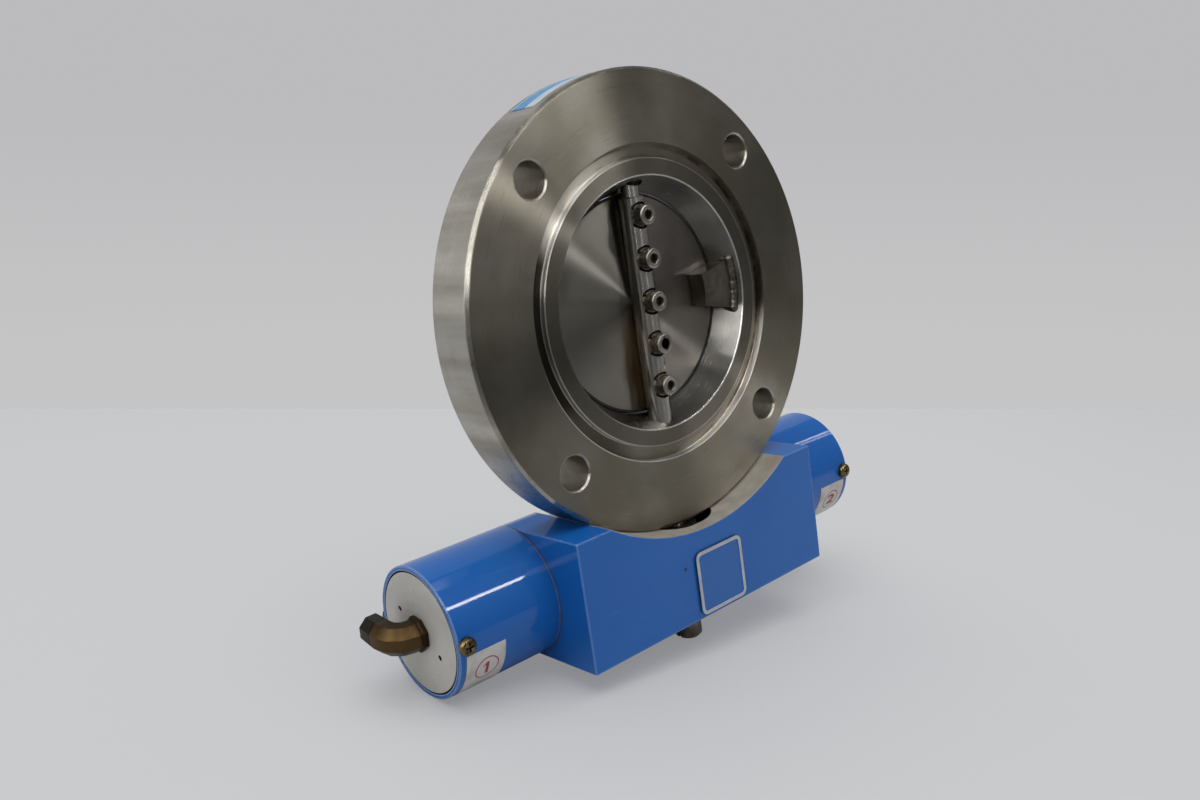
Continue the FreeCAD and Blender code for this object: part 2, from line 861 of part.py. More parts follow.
def body_screw(side):
    """Long socket head screw from below, through the housing into the rim of the valve body."""
    x = side * body_screw_x
    under = block_bottom_z + body_screw_sink
    head_bottom = under - body_screw_head_height
    head = cyl_z(body_screw_head_radius, head_bottom, under, x)
    shank = cyl_z(body_screw_radius, under, body_screw_reach(x) + body_screw_grip, x)
    socket = hexagon(
        body_screw_hex, V(x, 0, head_bottom), V(1, 0, 0), V(0, 1, 0), V(0, 0, body_screw_head_height / 2)
    )
    return head.fuse(shank).cut(socket)


# Cylinder tubes, their caps and fittings, all modelled at the right end

def cylinder_tube():
    """A cup with its base screwed to the block and its mouth closed by the end cap."""
    shape = turned_x([
        (block_half_length, tube_base_hole),
        (block_half_length, tube_radius),
        (tube_end_x - tube_edge, tube_radius),
        (tube_end_x, tube_radius - tube_edge),
        (tube_end_x, cylinder_radius),
        (chamber_start_x, cylinder_radius),
        (chamber_start_x, tube_base_hole),
    ])
    cuts = [radial_hole(cap_screw_radius + hole_clearance, turn) for turn in cap_screw_turns()]
    for y, z in tube_screw_places():
        narrow = tube_screw_radius + hole_clearance
        wide = tube_screw_head_radius + hole_clearance
        sink = V(chamber_start_x - tube_screw_head_height, y, z)
        cuts.append(cyl_x(narrow, block_half_length, chamber_start_x, y, z))
        cuts.append(Part.makeCone(narrow, wide, tube_screw_head_height, sink, V(1, 0, 0)))
    return shape.cut(cuts)


def tube_screw(y, z):
    """Countersunk screw, its head level with the base of the tube."""
    top = chamber_start_x
    under = top - tube_screw_head_height
    head = Part.makeCone(
        tube_screw_radius, tube_screw_head_radius, tube_screw_head_height, V(under, y, z), V(1, 0, 0)
    )
    shank = cyl_x(tube_screw_radius, top - tube_screw_length, under, y, z)
    socket = hexagon(
        tube_screw_hex, V(top, y, z), V(0, 1, 0), V(0, 0, 1), V(-tube_screw_socket_depth, 0, 0)
    )
    return head.fuse(shank).cut(socket)


def cap_screw_turns():
    return [360.0 / cap_screw_count * index for index in range(cap_screw_count)]


def radial(shape, turn):
    """Turns a piece made at the front of the tube about the actuator's axis."""
    shape.rotate(V(0, cylinder_axis_y, cylinder_axis_z), V(1, 0, 0), turn)
    return shape


def radial_hole(radius, turn):
    outer = cylinder_axis_y - tube_radius - 1
    inner = cylinder_axis_y - tube_radius + cap_screw_length + screw_hole_spare
    return radial(cyl_y(radius, outer, inner, cap_screw_x, cylinder_axis_z), turn)


def cap_screw(turn):
    """Pan head cross screw, radially through the tube into the end cap."""
    seat = cylinder_axis_y - tube_radius
    crown = seat - cap_screw_head_height
    head = cyl_y(cap_screw_head_radius, crown, seat, cap_screw_x, cylinder_axis_z)
    rim = [edge for edge in head.Edges if abs(edge.CenterOfMass.y - crown) < 0.01]
    head = head.makeFillet(cap_screw_rounding, rim)
    shank = cyl_y(cap_screw_radius, seat, seat + cap_screw_length, cap_screw_x, cylinder_axis_z)
    arms = []
    for width, height in ((cross_width, cross_length), (cross_length, cross_width)):
        arms.append(box(
            cap_screw_x - width / 2, cap_screw_x + width / 2, crown, crown + cross_depth,
            cylinder_axis_z - height / 2, cylinder_axis_z + height / 2,
        ))
    return radial(head.fuse(shank).cut(arms), turn)


def end_cap():
    """Plug with an O-ring groove, a tapped port in the middle and two pin spanner holes."""
    floor = cylinder_radius - 2 * cap_seal_cord - 2 * close_clearance
    half = cap_seal_cord + close_clearance
    shape = turned_x([
        (cap_inner_x, cap_port_radius),
        (cap_inner_x, cap_radius),
        (cap_seal_x - half, cap_radius),
        (cap_seal_x - half, floor),
        (cap_seal_x + half, floor),
        (cap_seal_x + half, cap_radius),
        (tube_end_x - cap_chamfer, cap_radius),
        (tube_end_x, cap_radius - cap_chamfer),
        (tube_end_x, cap_port_radius),
    ])
    cuts = [radial_hole(cap_screw_radius + close_clearance, turn) for turn in cap_screw_turns()]
    turn = math.radians(spanner_hole_angle)
    for side in (-1, 1):
        y = cylinder_axis_y + side * spanner_hole_circle * math.cos(turn)
        z = cylinder_axis_z + side * spanner_hole_circle * math.sin(turn)
        cuts.append(cyl_x(spanner_hole_radius, tube_end_x - spanner_hole_depth, tube_end_x, y, z))
    return shape.cut(cuts)


def cap_seal():
    centre = V(cap_seal_x, cylinder_axis_y, cylinder_axis_z)
    radius = cylinder_radius - running_clearance - cap_seal_cord
    return Part.makeTorus(radius, cap_seal_cord, centre, V(1, 0, 0))


def octagon(flats, centre, first, second):
    """A closed octagonal wire, a flat side towards each of the two unit vectors."""
    corner = flats / 2 / math.cos(math.radians(22.5))
    turns = [math.radians(22.5 + 45 * step) for step in range(9)]
    return Part.makePolygon([
        centre + first * (corner * math.cos(turn)) + second * (corner * math.sin(turn))
        for turn in turns
    ])


def elbow():
    """Forged elbow: thread in the cap, collar, a short leg outwards, a bend and a leg to the back."""
    centre = V(0, cylinder_axis_y, cylinder_axis_z)
    up = V(0, 0, 1)
    corner_x = tube_end_x + elbow_reach
    body_x = tube_end_x + elbow_collar_length
    bend_radius = elbow_flats / 2 + elbow_bend_gap
    bend_x = corner_x - bend_radius
    collar = Part.Face(octagon(elbow_collar_flats, centre + V(tube_end_x, 0, 0), AXIS_Y, up))
    leg = Part.Face(octagon(elbow_flats, centre + V(body_x, 0, 0), AXIS_Y, up))
    bend = Part.Face(octagon(elbow_flats, centre + V(bend_x, 0, 0), AXIS_Y, up))
    back = Part.makeLoft([
        octagon(elbow_flats, centre + V(corner_x, bend_radius, 0), V(1, 0, 0), up),
        octagon(elbow_end_flats, centre + V(corner_x, elbow_leg, 0), V(1, 0, 0), up),
    ], True, True)
    thread = cyl_x(cap_port_radius - close_clearance, tube_end_x - elbow_thread_length, tube_end_x)
    shape = collar.extrude(V(elbow_collar_length, 0, 0)).fuse([
        leg.extrude(V(bend_x - body_x, 0, 0)),
        bend.revolve(centre + V(bend_x, bend_radius, 0), AXIS_Z, 90),
        back, thread,
    ])
    shape = shape.cut([
        cyl_x(elbow_bore_radius, tube_end_x - elbow_thread_length, corner_x),
        cyl_y(elbow_bore_radius, cylinder_axis_y, cylinder_axis_y + elbow_leg, corner_x, cylinder_axis_z),
    ])
    shape.rotate(centre, V(1, 0, 0), elbow_turn)
    return shape


# Nameplate and labels

def rounded_plate(side, y0, y1):
    half = side / 2
    corner = plate_corner - (plate_side - side) / 2
    x = plate_centre_x
    z = cylinder_axis_z - plate_below_axis
    plate = box(x - half, x + half, y0, y1, z - half, z + half)
    upright = [edge for edge in plate.Edges if abs(edge.tangentAt(edge.FirstParameter).y) > 0.9]
    return plate.makeFillet(corner, upright)


def nameplate():
    plate = rounded_plate(plate_side, block_front_y - plate_thickness, block_front_y)
    field_y = block_front_y - plate_thickness + plate_field_depth
    field = rounded_plate(plate_side - 2 * plate_frame, block_front_y - plate_thickness, field_y)
    return plate.cut(field)


def port_label():
    outer_x = tube_end_x - port_label_setback
    return ring_sector(
        tube_radius, tube_radius + label_thickness, port_label_start, port_label_end,
        around_cylinder(outer_x - port_label_width), V(port_label_width, 0, 0),
    )


def rim_label():
    return ring_sector(
        flange_radius, flange_radius + label_thickness, rim_label_start, rim_label_end,
        around_bore(front_y + rim_label_setback), V(0, rim_label_width, 0),
    )


# Fixed pieces of the valve
save("valve_body", valve_body())
save("disc_stop", disc_stop())
save("stop_weld", stop_weld())
save("top_bush", top_bush())
save("shaft_bush", shaft_bush())
save("shaft_seals", *shaft_seals())
save("seal_retainer", seal_retainer())
save("rim_label", rim_label())

# Fixed pieces of the actuator
right_tube_screws = [tube_screw(y, z) for y, z in tube_screw_places()]
right_cap_screws = [cap_screw(turn) for turn in cap_screw_turns()]
save("actuator_housing", actuator_housing())
save("body_screws", body_screw(-1), body_screw(1))
save("pinion_bush", pinion_bush())
save("thrust_washer", thrust_washer())
save("rack_guide", rack_guide())
save("nameplate", nameplate())
save("right_cylinder_tube", cylinder_tube())
save("left_cylinder_tube", mirrored(cylinder_tube()))
save("right_tube_screws", *right_tube_screws)
save("left_tube_screws", *[mirrored(screw) for screw in right_tube_screws])
save("right_end_cap", end_cap())
save("left_end_cap", mirrored(end_cap()))
save("right_cap_seal", cap_seal())
save("left_cap_seal", mirrored(cap_seal()))
save("right_cap_screws", *right_cap_screws)
save("left_cap_screws", *[mirrored(screw) for screw in right_cap_screws])
save("right_elbow", elbow())
save("left_elbow", mirrored(elbow()))
save("right_port_label", port_label())
save("left_port_label", mirrored(port_label()))

# Pieces that turn with the shaft
save("disc_shaft", disc_shaft())
save("throttle_disc", throttle_disc())
save("disc_screws", *[disc_screw(height) for height in screw_heights()])
save("spring_washers", *[spring_washer(height) for height in screw_heights()])
save("pinion", pinion())
save("hub_pin", hub_pin())
save("circlip", circlip())

# Pieces that slide with the rack
left_piston, right_piston = both_pistons(piston)
save("rack_bar", rack_bar())
save("left_piston", left_piston)
save("right_piston", right_piston)
save("piston_bolts", *both_pistons(piston_bolt))
save("piston_seals", *both_pistons(piston_seal))
save("wear_rings", *both_pistons(wear_ring))
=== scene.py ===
import bpy
import bmesh
import math
from mathutils import Matrix, Vector


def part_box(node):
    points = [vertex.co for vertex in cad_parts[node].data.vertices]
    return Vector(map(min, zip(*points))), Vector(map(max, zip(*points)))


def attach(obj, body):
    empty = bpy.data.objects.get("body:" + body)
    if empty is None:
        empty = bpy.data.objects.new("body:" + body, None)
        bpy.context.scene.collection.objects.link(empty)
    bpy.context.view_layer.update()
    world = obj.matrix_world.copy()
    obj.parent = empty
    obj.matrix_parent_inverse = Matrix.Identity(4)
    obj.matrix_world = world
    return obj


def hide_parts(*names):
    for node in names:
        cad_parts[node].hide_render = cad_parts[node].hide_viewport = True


# Butterfly throttle valve with a rack and pinion air actuator, dressed for a studio picture.
# Metres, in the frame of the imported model: -Y is the open front, +Z points away from the actuator.

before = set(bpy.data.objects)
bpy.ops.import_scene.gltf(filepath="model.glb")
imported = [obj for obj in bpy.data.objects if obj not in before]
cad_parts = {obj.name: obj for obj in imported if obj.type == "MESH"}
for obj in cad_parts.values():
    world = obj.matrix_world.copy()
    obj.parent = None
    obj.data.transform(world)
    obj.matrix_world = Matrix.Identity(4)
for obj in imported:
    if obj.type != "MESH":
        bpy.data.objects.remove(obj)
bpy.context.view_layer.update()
MM = 0.001

# Radii on the flange that no box gives
BOLT_CIRCLE = 67.5 * MM
BOLT_HOLE = 6.0 * MM
MOUTH = 44.0 * MM
GROOVE_INSIDE = 50.0 * MM
GROOVE_OUTSIDE = 55.0 * MM

# Places that the frame gives
body_low, body_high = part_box("valve_body")
flange_radius = body_high.z
front_y = body_low.y
back_y = body_high.y
stop_low, stop_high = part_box("disc_stop")
weld_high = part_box("stop_weld")[1]
disc_low, disc_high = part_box("throttle_disc")
disc_radius = disc_high.z
shaft_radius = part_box("disc_shaft")[1].x
screws_low, screws_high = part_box("disc_screws")
tube_low, tube_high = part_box("left_cylinder_tube")
block_low, block_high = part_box("actuator_housing")
plate_low, plate_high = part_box("nameplate")
rim_label_low, rim_label_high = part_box("rim_label")
stub_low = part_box("pinion")[0]
tube_radius = (tube_high.z - tube_low.z) / 2
axis_y = (tube_low.y + tube_high.y) / 2
axis_z = (tube_low.z + tube_high.z) / 2
cap_low, cap_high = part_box("left_end_cap")
cap_radius = (cap_high.z - cap_low.z) / 2
tube_end_x = -tube_low.x
CYLINDER_AXIS = (0, axis_y, axis_z)

# Camera that took the picture
PICTURE_WIDTH = 1200
PICTURE_HEIGHT = 800
SENSOR_WIDTH = 36.0
FOCAL_LENGTH = 31.944
camera_place = Vector((-0.254206, -0.274902, 0.045819))
camera_azimuth = math.radians(-39.617)
camera_elevation = math.radians(11.762)
camera_roll = math.radians(-8.313)


def linear(hex_colour):
    """Turns an sRGB hex colour into linear red, green, blue and an alpha of one."""
    shares = [int(hex_colour[start:start + 2], 16) / 255 for start in (0, 2, 4)]
    curved = [share / 12.92 if share <= 0.04045 else ((share + 0.055) / 1.055) ** 2.4 for share in shares]
    return curved + [1.0]


def add(tree, kind, inputs=None, **settings):
    """Adds a node, sets its properties and feeds its inputs, by name or number, with values or nodes."""
    node = tree.nodes.new(kind)
    for key, value in settings.items():
        setattr(node, key, value)
    for key, value in (inputs or {}).items():
        if isinstance(key, str):
            socket = next(socket for socket in node.inputs if socket.name == key and socket.enabled)
        else:
            socket = node.inputs[key]
        if isinstance(value, bpy.types.Node):
            value = next(output for output in value.outputs if output.enabled)
        if isinstance(value, bpy.types.NodeSocket):
            tree.links.new(value, socket)
        else:
            socket.default_value = value
    return node


def new_mesh(name, form):
    """A mesh from a bmesh, which is freed."""
    mesh = bpy.data.meshes.new(name)
    form.to_mesh(mesh)
    form.free()
    return mesh


def new_object(name, data):
    """An object of the scene."""
    thing = bpy.data.objects.new(name, data)
    bpy.context.scene.collection.objects.link(thing)
    return thing


# Camera

def aim_camera():
    """Back, right and up of the camera from its azimuth, elevation and roll."""
    back = Vector((
        math.sin(camera_azimuth) * math.cos(camera_elevation),
        -math.cos(camera_azimuth) * math.cos(camera_elevation),
        math.sin(camera_elevation),
    ))
    level = Vector((0, 0, 1)).cross(back).normalized()
    upright = back.cross(level)
    right = level * math.cos(camera_roll) + upright * math.sin(camera_roll)
    up = upright * math.cos(camera_roll) - level * math.sin(camera_roll)
    return back, right, up


def behind_pixel(across, down, depth):
    """The place that a pixel of the 1200 by 800 picture shows at a depth, which is its Y."""
    focal = FOCAL_LENGTH / SENSOR_WIDTH * PICTURE_WIDTH
    sideways = camera_right * (across - PICTURE_WIDTH / 2) / focal
    upwards = camera_up * (PICTURE_HEIGHT / 2 - down) / focal
    ray = sideways + upwards - camera_back
    return camera_place + ray * (depth - camera_place.y) / ray.y


camera_back, camera_right, camera_up = aim_camera()
# Worn spots on the front of the block, from their pixels in the picture
CHIP_PIXEL = (678.5, 535.8)
DARK_DOT_PIXEL = (685.5, 569.6)
CHIP = behind_pixel(*CHIP_PIXEL, block_low.y)
DARK_DOT = behind_pixel(*DARK_DOT_PIXEL, block_low.y)
camera_data = bpy.data.cameras.new("camera")
camera_data.sensor_width = SENSOR_WIDTH
camera_data.sensor_fit = "HORIZONTAL"
camera_data.lens = FOCAL_LENGTH
camera_data.clip_start = 0.01
camera = new_object("camera", camera_data)
camera.matrix_world = (
    Matrix.Translation(camera_place)
    @ Matrix((camera_right, camera_up, camera_back)).transposed().to_4x4()
)
bpy.context.scene.camera = camera

# Studio: the valve leans on its stub and on the left cylinder, so the floor is tilted in its frame
FLOOR_BEHIND = 0.432
FLOOR_BEFORE = 0.62
FLOOR_DARK = 0.34
FLOOR_GLOW = 0.38
FLOOR_HALF_WIDTH = 1.6
ROOM_RADIUS = 2.0
ROOM_LEFT = -95
ROOM_RIGHT = 108
ROOM_TOP = 86
ROOM_LEVEL = 0.15
LIGHT_DISTANCE = 1.5
CEILING_PLACE = (0.0, -0.1, 1.6)
CEILING_SIZE = (2.2, 2.0)
CEILING_POWER = 22
FILL_LIGHT = 0.78
WALL_FOOT = -0.12
WALL_TOP = 0.08
# Name, strength, and corners as azimuth and elevation in degrees
ROOM_LIGHTS = (
    ("long_lamp", 20.0, ((-2, 42), (41, 26), (42, 30), (-1, 46))),
    ("slanted_lamp", 14.0, ((-8, 30), (12, 15.5), (15, 18.5), (-5, 33))),
    ("low_lamp", 4.0, ((8, -5.5), (11, -5.5), (11, -3.5), (8, -3.5))),
    ("left_lamp", 9.0, ((-50, 12), (-44, 12), (-36, 40), (-24, 52), (-30, 56), (-42, 44))),
    ("right_lamp", 14.0, ((72.2, 31), (73.4, 31), (73.9, 37), (72.7, 37))),
    ("right_tube", 10.0, ((68.2, 29), (69.2, 29), (69.5, 35), (68.5, 35))),
    ("cone_window", 5.0, ((-88, 12), (-70, 12), (-70, 52), (-88, 56))),
    ("left_window", 1.3, ((-112, -16), (-86, -16), (-86, 62), (-112, 62))),
)
rest_stub = Vector((0, 0, stub_low.z))
rest_tube = Vector((-tube_end_x, axis_y, tube_low.z))
floor_up = (rest_tube - rest_stub).cross(camera_right).normalized()
if floor_up.z < 0:
    floor_up = -floor_up
floor_away = (-camera_back - floor_up * floor_up.dot(-camera_back)).normalized()
floor_right = floor_away.cross(floor_up)


def studio_place(right, away, up):
    """A point of the studio, measured from the stub along and above the floor."""
    return rest_stub + floor_right * right + floor_away * away + floor_up * up


def stage_piece(name, form, finish):
    """A part of the studio, which is no part of the valve."""
    mesh = new_mesh(name, form)
    mesh.materials.append(finish)
    thing = new_object(name, mesh)
    return thing


def table_white():
    """White table paper. The camera sees some of it as a pale glow, so that its shadow is soft.
    In metal and gloss it fades to the dark of the room towards the front."""
    finish, tree, shader, place = start_finish("floor_white", 0.0, 0.6)
    shader.inputs["Specular IOR Level"].default_value = 0.2
    from_stub = add(tree, "ShaderNodeVectorMath", {0: place, 1: rest_stub}, operation="SUBTRACT")
    away = add(tree, "ShaderNodeVectorMath", {0: from_stub, 1: floor_away}, operation="DOT_PRODUCT")
    dark = add(tree, "ShaderNodeMapRange", {
        "Value": away.outputs["Value"], "From Min": 0.0, "From Max": -FLOOR_DARK,
    }, interpolation_type="SMOOTHSTEP")
    path = add(tree, "ShaderNodeLightPath")
    dark = where_all(tree, dark, path.outputs["Is Glossy Ray"])
    paint(tree, shader, "c6c7c8", (dark, "3c3c3b"), (path.outputs["Is Camera Ray"], "a4a5a7"))
    shader.inputs["Emission Color"].default_value = linear("cbcbcc")
    set_input(tree, shader, "Emission Strength", where_all(tree, path.outputs["Is Camera Ray"], FLOOR_GLOW))
    return finish


def make_floor():
    """A table top that ends behind the valve where the picture has its horizon."""
    form = bmesh.new()
    outline = ((-1, -FLOOR_BEFORE), (1, -FLOOR_BEFORE), (1, FLOOR_BEHIND), (-1, FLOOR_BEHIND))
    corners = [studio_place(side * FLOOR_HALF_WIDTH, away, 0) for side, away in outline]
    form.faces.new([form.verts.new(corner) for corner in corners])
    stage_piece("floor", form, table_white())


def toward(azimuth, elevation, distance):
    """A point of the room by its direction from the bore, azimuth 0 in front and positive to the right."""
    turn = math.radians(azimuth)
    rise = math.radians(elevation)
    level = Vector((math.sin(turn), -math.cos(turn), 0)) * math.cos(rise)
    return (level + Vector((0, 0, math.sin(rise)))) * distance


def room_piece(name, form, strength):
    """A glowing part of the studio that shows only in metal and gloss."""
    finish = bpy.data.materials.new(name)
    finish.use_nodes = True
    finish.node_tree.nodes.clear()
    glow = add(finish.node_tree, "ShaderNodeEmission", {"Color": linear("ffffff"), "Strength": strength})
    add(finish.node_tree, "ShaderNodeOutputMaterial", {"Surface": glow})
    thing = stage_piece(name, form, finish)
    thing.visible_camera = False
    thing.visible_diffuse = False
    thing.visible_shadow = False


def make_room():
    """The dark room in front of the valve, with a long lamp, a window on the left and smaller lights."""
    form = bmesh.new()
    bmesh.ops.create_uvsphere(form, u_segments=72, v_segments=36, radius=ROOM_RADIUS)
    outside = []
    for face in form.faces:
        middle = face.calc_center_median()
        azimuth = math.degrees(math.atan2(middle.x, -middle.y))
        elevation = math.degrees(math.asin(middle.z / middle.length))
        if not (ROOM_LEFT < azimuth < ROOM_RIGHT and elevation < ROOM_TOP):
            outside.append(face)
    bmesh.ops.delete(form, geom=outside, context="FACES")
    room_piece("dark_room", form, ROOM_LEVEL)
    for name, strength, corners in ROOM_LIGHTS:
        form = bmesh.new()
        form.faces.new([form.verts.new(toward(*corner, LIGHT_DISTANCE)) for corner in corners])
        room_piece(name, form, strength)


def lamp(name, place, target, width, height, power):
    """A soft rectangular lamp that lights the valve and isn't seen itself."""
    data = bpy.data.lights.new(name, "AREA")
    data.shape = "RECTANGLE"
    data.size = width
    data.size_y = height
    data.energy = power
    light = new_object(name, data)
    back = (place - target).normalized()
    side = floor_up.cross(back).normalized()
    turn = Matrix((side, back.cross(side), back)).transposed().to_4x4()
    light.matrix_world = Matrix.Translation(place) @ turn
    light.visible_camera = False
    light.visible_glossy = False


def make_world():
    """Pale backdrop for what is seen directly or in metal, and a soft even fill for the rest."""
    world = bpy.data.worlds.new("studio")
    bpy.context.scene.world = world
    world.use_nodes = True
    tree = world.node_tree
    tree.nodes.clear()
    path = add(tree, "ShaderNodeLightPath")
    rays = ("Is Camera Ray", "Is Glossy Ray", "Is Transmission Ray")
    seen = where_any(tree, *(path.outputs[ray] for ray in rays))
    direction = add(tree, "ShaderNodeTexCoord").outputs["Generated"]
    rise = add(tree, "ShaderNodeVectorMath", {0: direction, 1: floor_up}, operation="DOT_PRODUCT")
    upper = add(tree, "ShaderNodeMapRange", {
        "Value": rise.outputs["Value"], "From Min": WALL_FOOT, "From Max": WALL_TOP,
    })
    wall = layered_colour(tree, "c5c5c6", (upper, "bbbbbd"))
    backdrop = add(tree, "ShaderNodeBackground", {"Color": wall})
    fill = add(tree, "ShaderNodeBackground", {"Color": linear("c4c4c5"), "Strength": FILL_LIGHT})
    mix = add(tree, "ShaderNodeMixShader", {0: seen, 1: fill, 2: backdrop})
    add(tree, "ShaderNodeOutputWorld", {"Surface": mix})


# Sizes of the disc's screws, along the shaft
HEAD_RADIUS = 3.5 * MM
HEAD_HEIGHT = 4.0 * MM
SHANK_RADIUS = 2.0 * MM
SOCKET_FLATS = 3.0 * MM
SOCKET_DEPTH = 2.2 * MM
SCREW_COUNT = 5
FIRST_SCREW = screws_low.z + HEAD_RADIUS
SCREW_PITCH = (screws_high.z - screws_low.z - 2 * HEAD_RADIUS) / (SCREW_COUNT - 1)


# Finishes

def start_finish(name, metallic, roughness):
    """A new material with its tree, its shader and the place on the object."""
    finish = bpy.data.materials.new(name)
    finish.use_nodes = True
    tree = finish.node_tree
    shader = tree.nodes["Principled BSDF"]
    shader.inputs["Metallic"].default_value = metallic
    shader.inputs["Roughness"].default_value = roughness
    return finish, tree, shader, add(tree, "ShaderNodeTexCoord").outputs["Object"]


def set_input(tree, shader, name, source):
    """Links a node to an input of the shader."""
    tree.links.new(next(output for output in source.outputs if output.enabled), shader.inputs[name])


def patches(tree, place, size, low, high, detail=3.0):
    """A soft uneven pattern of a real size in millimetres, from 0 to 1 between two levels of the noise."""
    noise = add(tree, "ShaderNodeTexNoise", {"Vector": place, "Scale": 1 / (size * MM), "Detail": detail})
    return add(
        tree, "ShaderNodeMapRange", {"Value": noise, "From Min": low, "From Max": high},
        interpolation_type="SMOOTHSTEP",
    )


def tool_marks(tree, distance, spacing):
    """Uneven lines across a distance, as a cutting tool leaves them, spaced by millimetres."""
    count = add(tree, "ShaderNodeMath", {0: distance, 1: 1 / (spacing * MM)}, operation="MULTIPLY")
    return add(
        tree, "ShaderNodeTexNoise", {"W": count, "Scale": 1.0, "Detail": 4.0, "Roughness": 0.7},
        noise_dimensions="1D",
    )


def band(tree, value, start, end, blur):
    """1 where a value lies between two limits, with soft edges."""
    slopes = [
        add(
            tree, "ShaderNodeMapRange", {"Value": value, "From Min": outside, "From Max": limit},
            interpolation_type="SMOOTHSTEP",
        )
        for outside, limit in ((start - blur, start), (end + blur, end))
    ]
    return where_all(tree, *slopes)


def distance(tree, place, counted, middle=(0, 0, 0)):
    """How far a place is from a middle. With two of its axes counted it is a radius about the third."""
    near = add(tree, "ShaderNodeVectorMath", {0: place, 1: middle}, operation="SUBTRACT")
    flat = add(tree, "ShaderNodeVectorMath", {0: near, 1: counted}, operation="MULTIPLY")
    return add(tree, "ShaderNodeVectorMath", {0: flat}, operation="LENGTH").outputs["Value"]


def lay_grain(tree, shader, direction, share, turn):
    """Points the gloss along a direction given on the object."""
    world = add(
        tree, "ShaderNodeVectorTransform", {"Vector": direction},
        vector_type="VECTOR", convert_from="OBJECT", convert_to="WORLD",
    )
    set_input(tree, shader, "Tangent", add(tree, "ShaderNodeVectorMath", {0: world}, operation="NORMALIZE"))
    shader.inputs["Anisotropic"].default_value = share
    shader.inputs["Anisotropic Rotation"].default_value = turn


def around_bore(tree, place):
    """The direction in which a lathe's marks run round the bore axis."""
    return add(tree, "ShaderNodeVectorMath", {0: place, 1: (0, 1, 0)}, operation="CROSS_PRODUCT")


def beside_bolt_hole(tree, place):
    """The place measured from the nearest bolt hole's axis, and the distance from that axis."""
    split = add(tree, "ShaderNodeSeparateXYZ", {0: place})
    offsets = {}
    for axis in ("X", "Z"):
        side = add(tree, "ShaderNodeMath", {0: split.outputs[axis]}, operation="SIGN")
        size = add(tree, "ShaderNodeMath", {0: split.outputs[axis]}, operation="ABSOLUTE")
        offset = add(tree, "ShaderNodeMath", {0: size, 1: BOLT_CIRCLE / math.sqrt(2)}, operation="SUBTRACT")
        offsets[axis] = add(tree, "ShaderNodeMath", {0: offset, 1: side}, operation="MULTIPLY")
    near_hole = add(tree, "ShaderNodeCombineXYZ", offsets)
    return near_hole, distance(tree, near_hole, (1, 0, 1))


def soft_edges(tree, shader, width, normal):
    """Rounds the sharp edges in the gloss by a width, as a file or a deburring stone does."""
    rounded = add(tree, "ShaderNodeBevel", {"Radius": width, "Normal": normal}, samples=4)
    set_input(tree, shader, "Normal", rounded)


def sharp_edges(tree, width):
    """1 along sharp edges, within a width of them."""
    rounded = add(tree, "ShaderNodeBevel", {"Radius": width}, samples=6)
    flat = add(tree, "ShaderNodeNewGeometry").outputs["Normal"]
    alike = add(tree, "ShaderNodeVectorMath", {0: rounded, 1: flat}, operation="DOT_PRODUCT")
    return add(tree, "ShaderNodeMapRange", {
        "Value": alike.outputs["Value"], "From Min": 0.98, "From Max": 0.9,
    })


def where_all(tree, *masks):
    """The share of the surface that several masks all cover. A mask may be a plain number."""
    shared = masks[0]
    for mask in masks[1:]:
        shared = add(tree, "ShaderNodeMath", {0: shared, 1: mask}, operation="MULTIPLY")
    return shared


def where_any(tree, *masks):
    """The share of the surface that the strongest of several masks covers."""
    covered = masks[0]
    for mask in masks[1:]:
        covered = add(tree, "ShaderNodeMath", {0: covered, 1: mask}, operation="MAXIMUM")
    return covered


def elsewhere(tree, mask):
    """The share of the surface that a mask leaves free."""
    return add(tree, "ShaderNodeMath", {0: 1.0, 1: mask}, operation="SUBTRACT")


def layered_colour(tree, bottom, *layers):
    """Lays colours over a bottom one, each by its share. A colour is a hex value or a node."""
    colour = linear(bottom) if isinstance(bottom, str) else bottom
    for share, top in layers:
        top = linear(top) if isinstance(top, str) else top
        colour = add(tree, "ShaderNodeMix", {"Factor": share, "A": colour, "B": top}, data_type="RGBA")
    return colour


def paint(tree, shader, bottom, *layers):
    """Gives the shader its base colour in layers."""
    set_input(tree, shader, "Base Color", layered_colour(tree, bottom, *layers))


def marked_gloss(tree, marks, smooth, rough):
    """Roughness between two values, along the marks that a tool left."""
    return add(tree, "ShaderNodeMapRange", {
        "Value": marks, "From Min": 0.3, "From Max": 0.7, "To Min": smooth, "To Max": rough,
    })


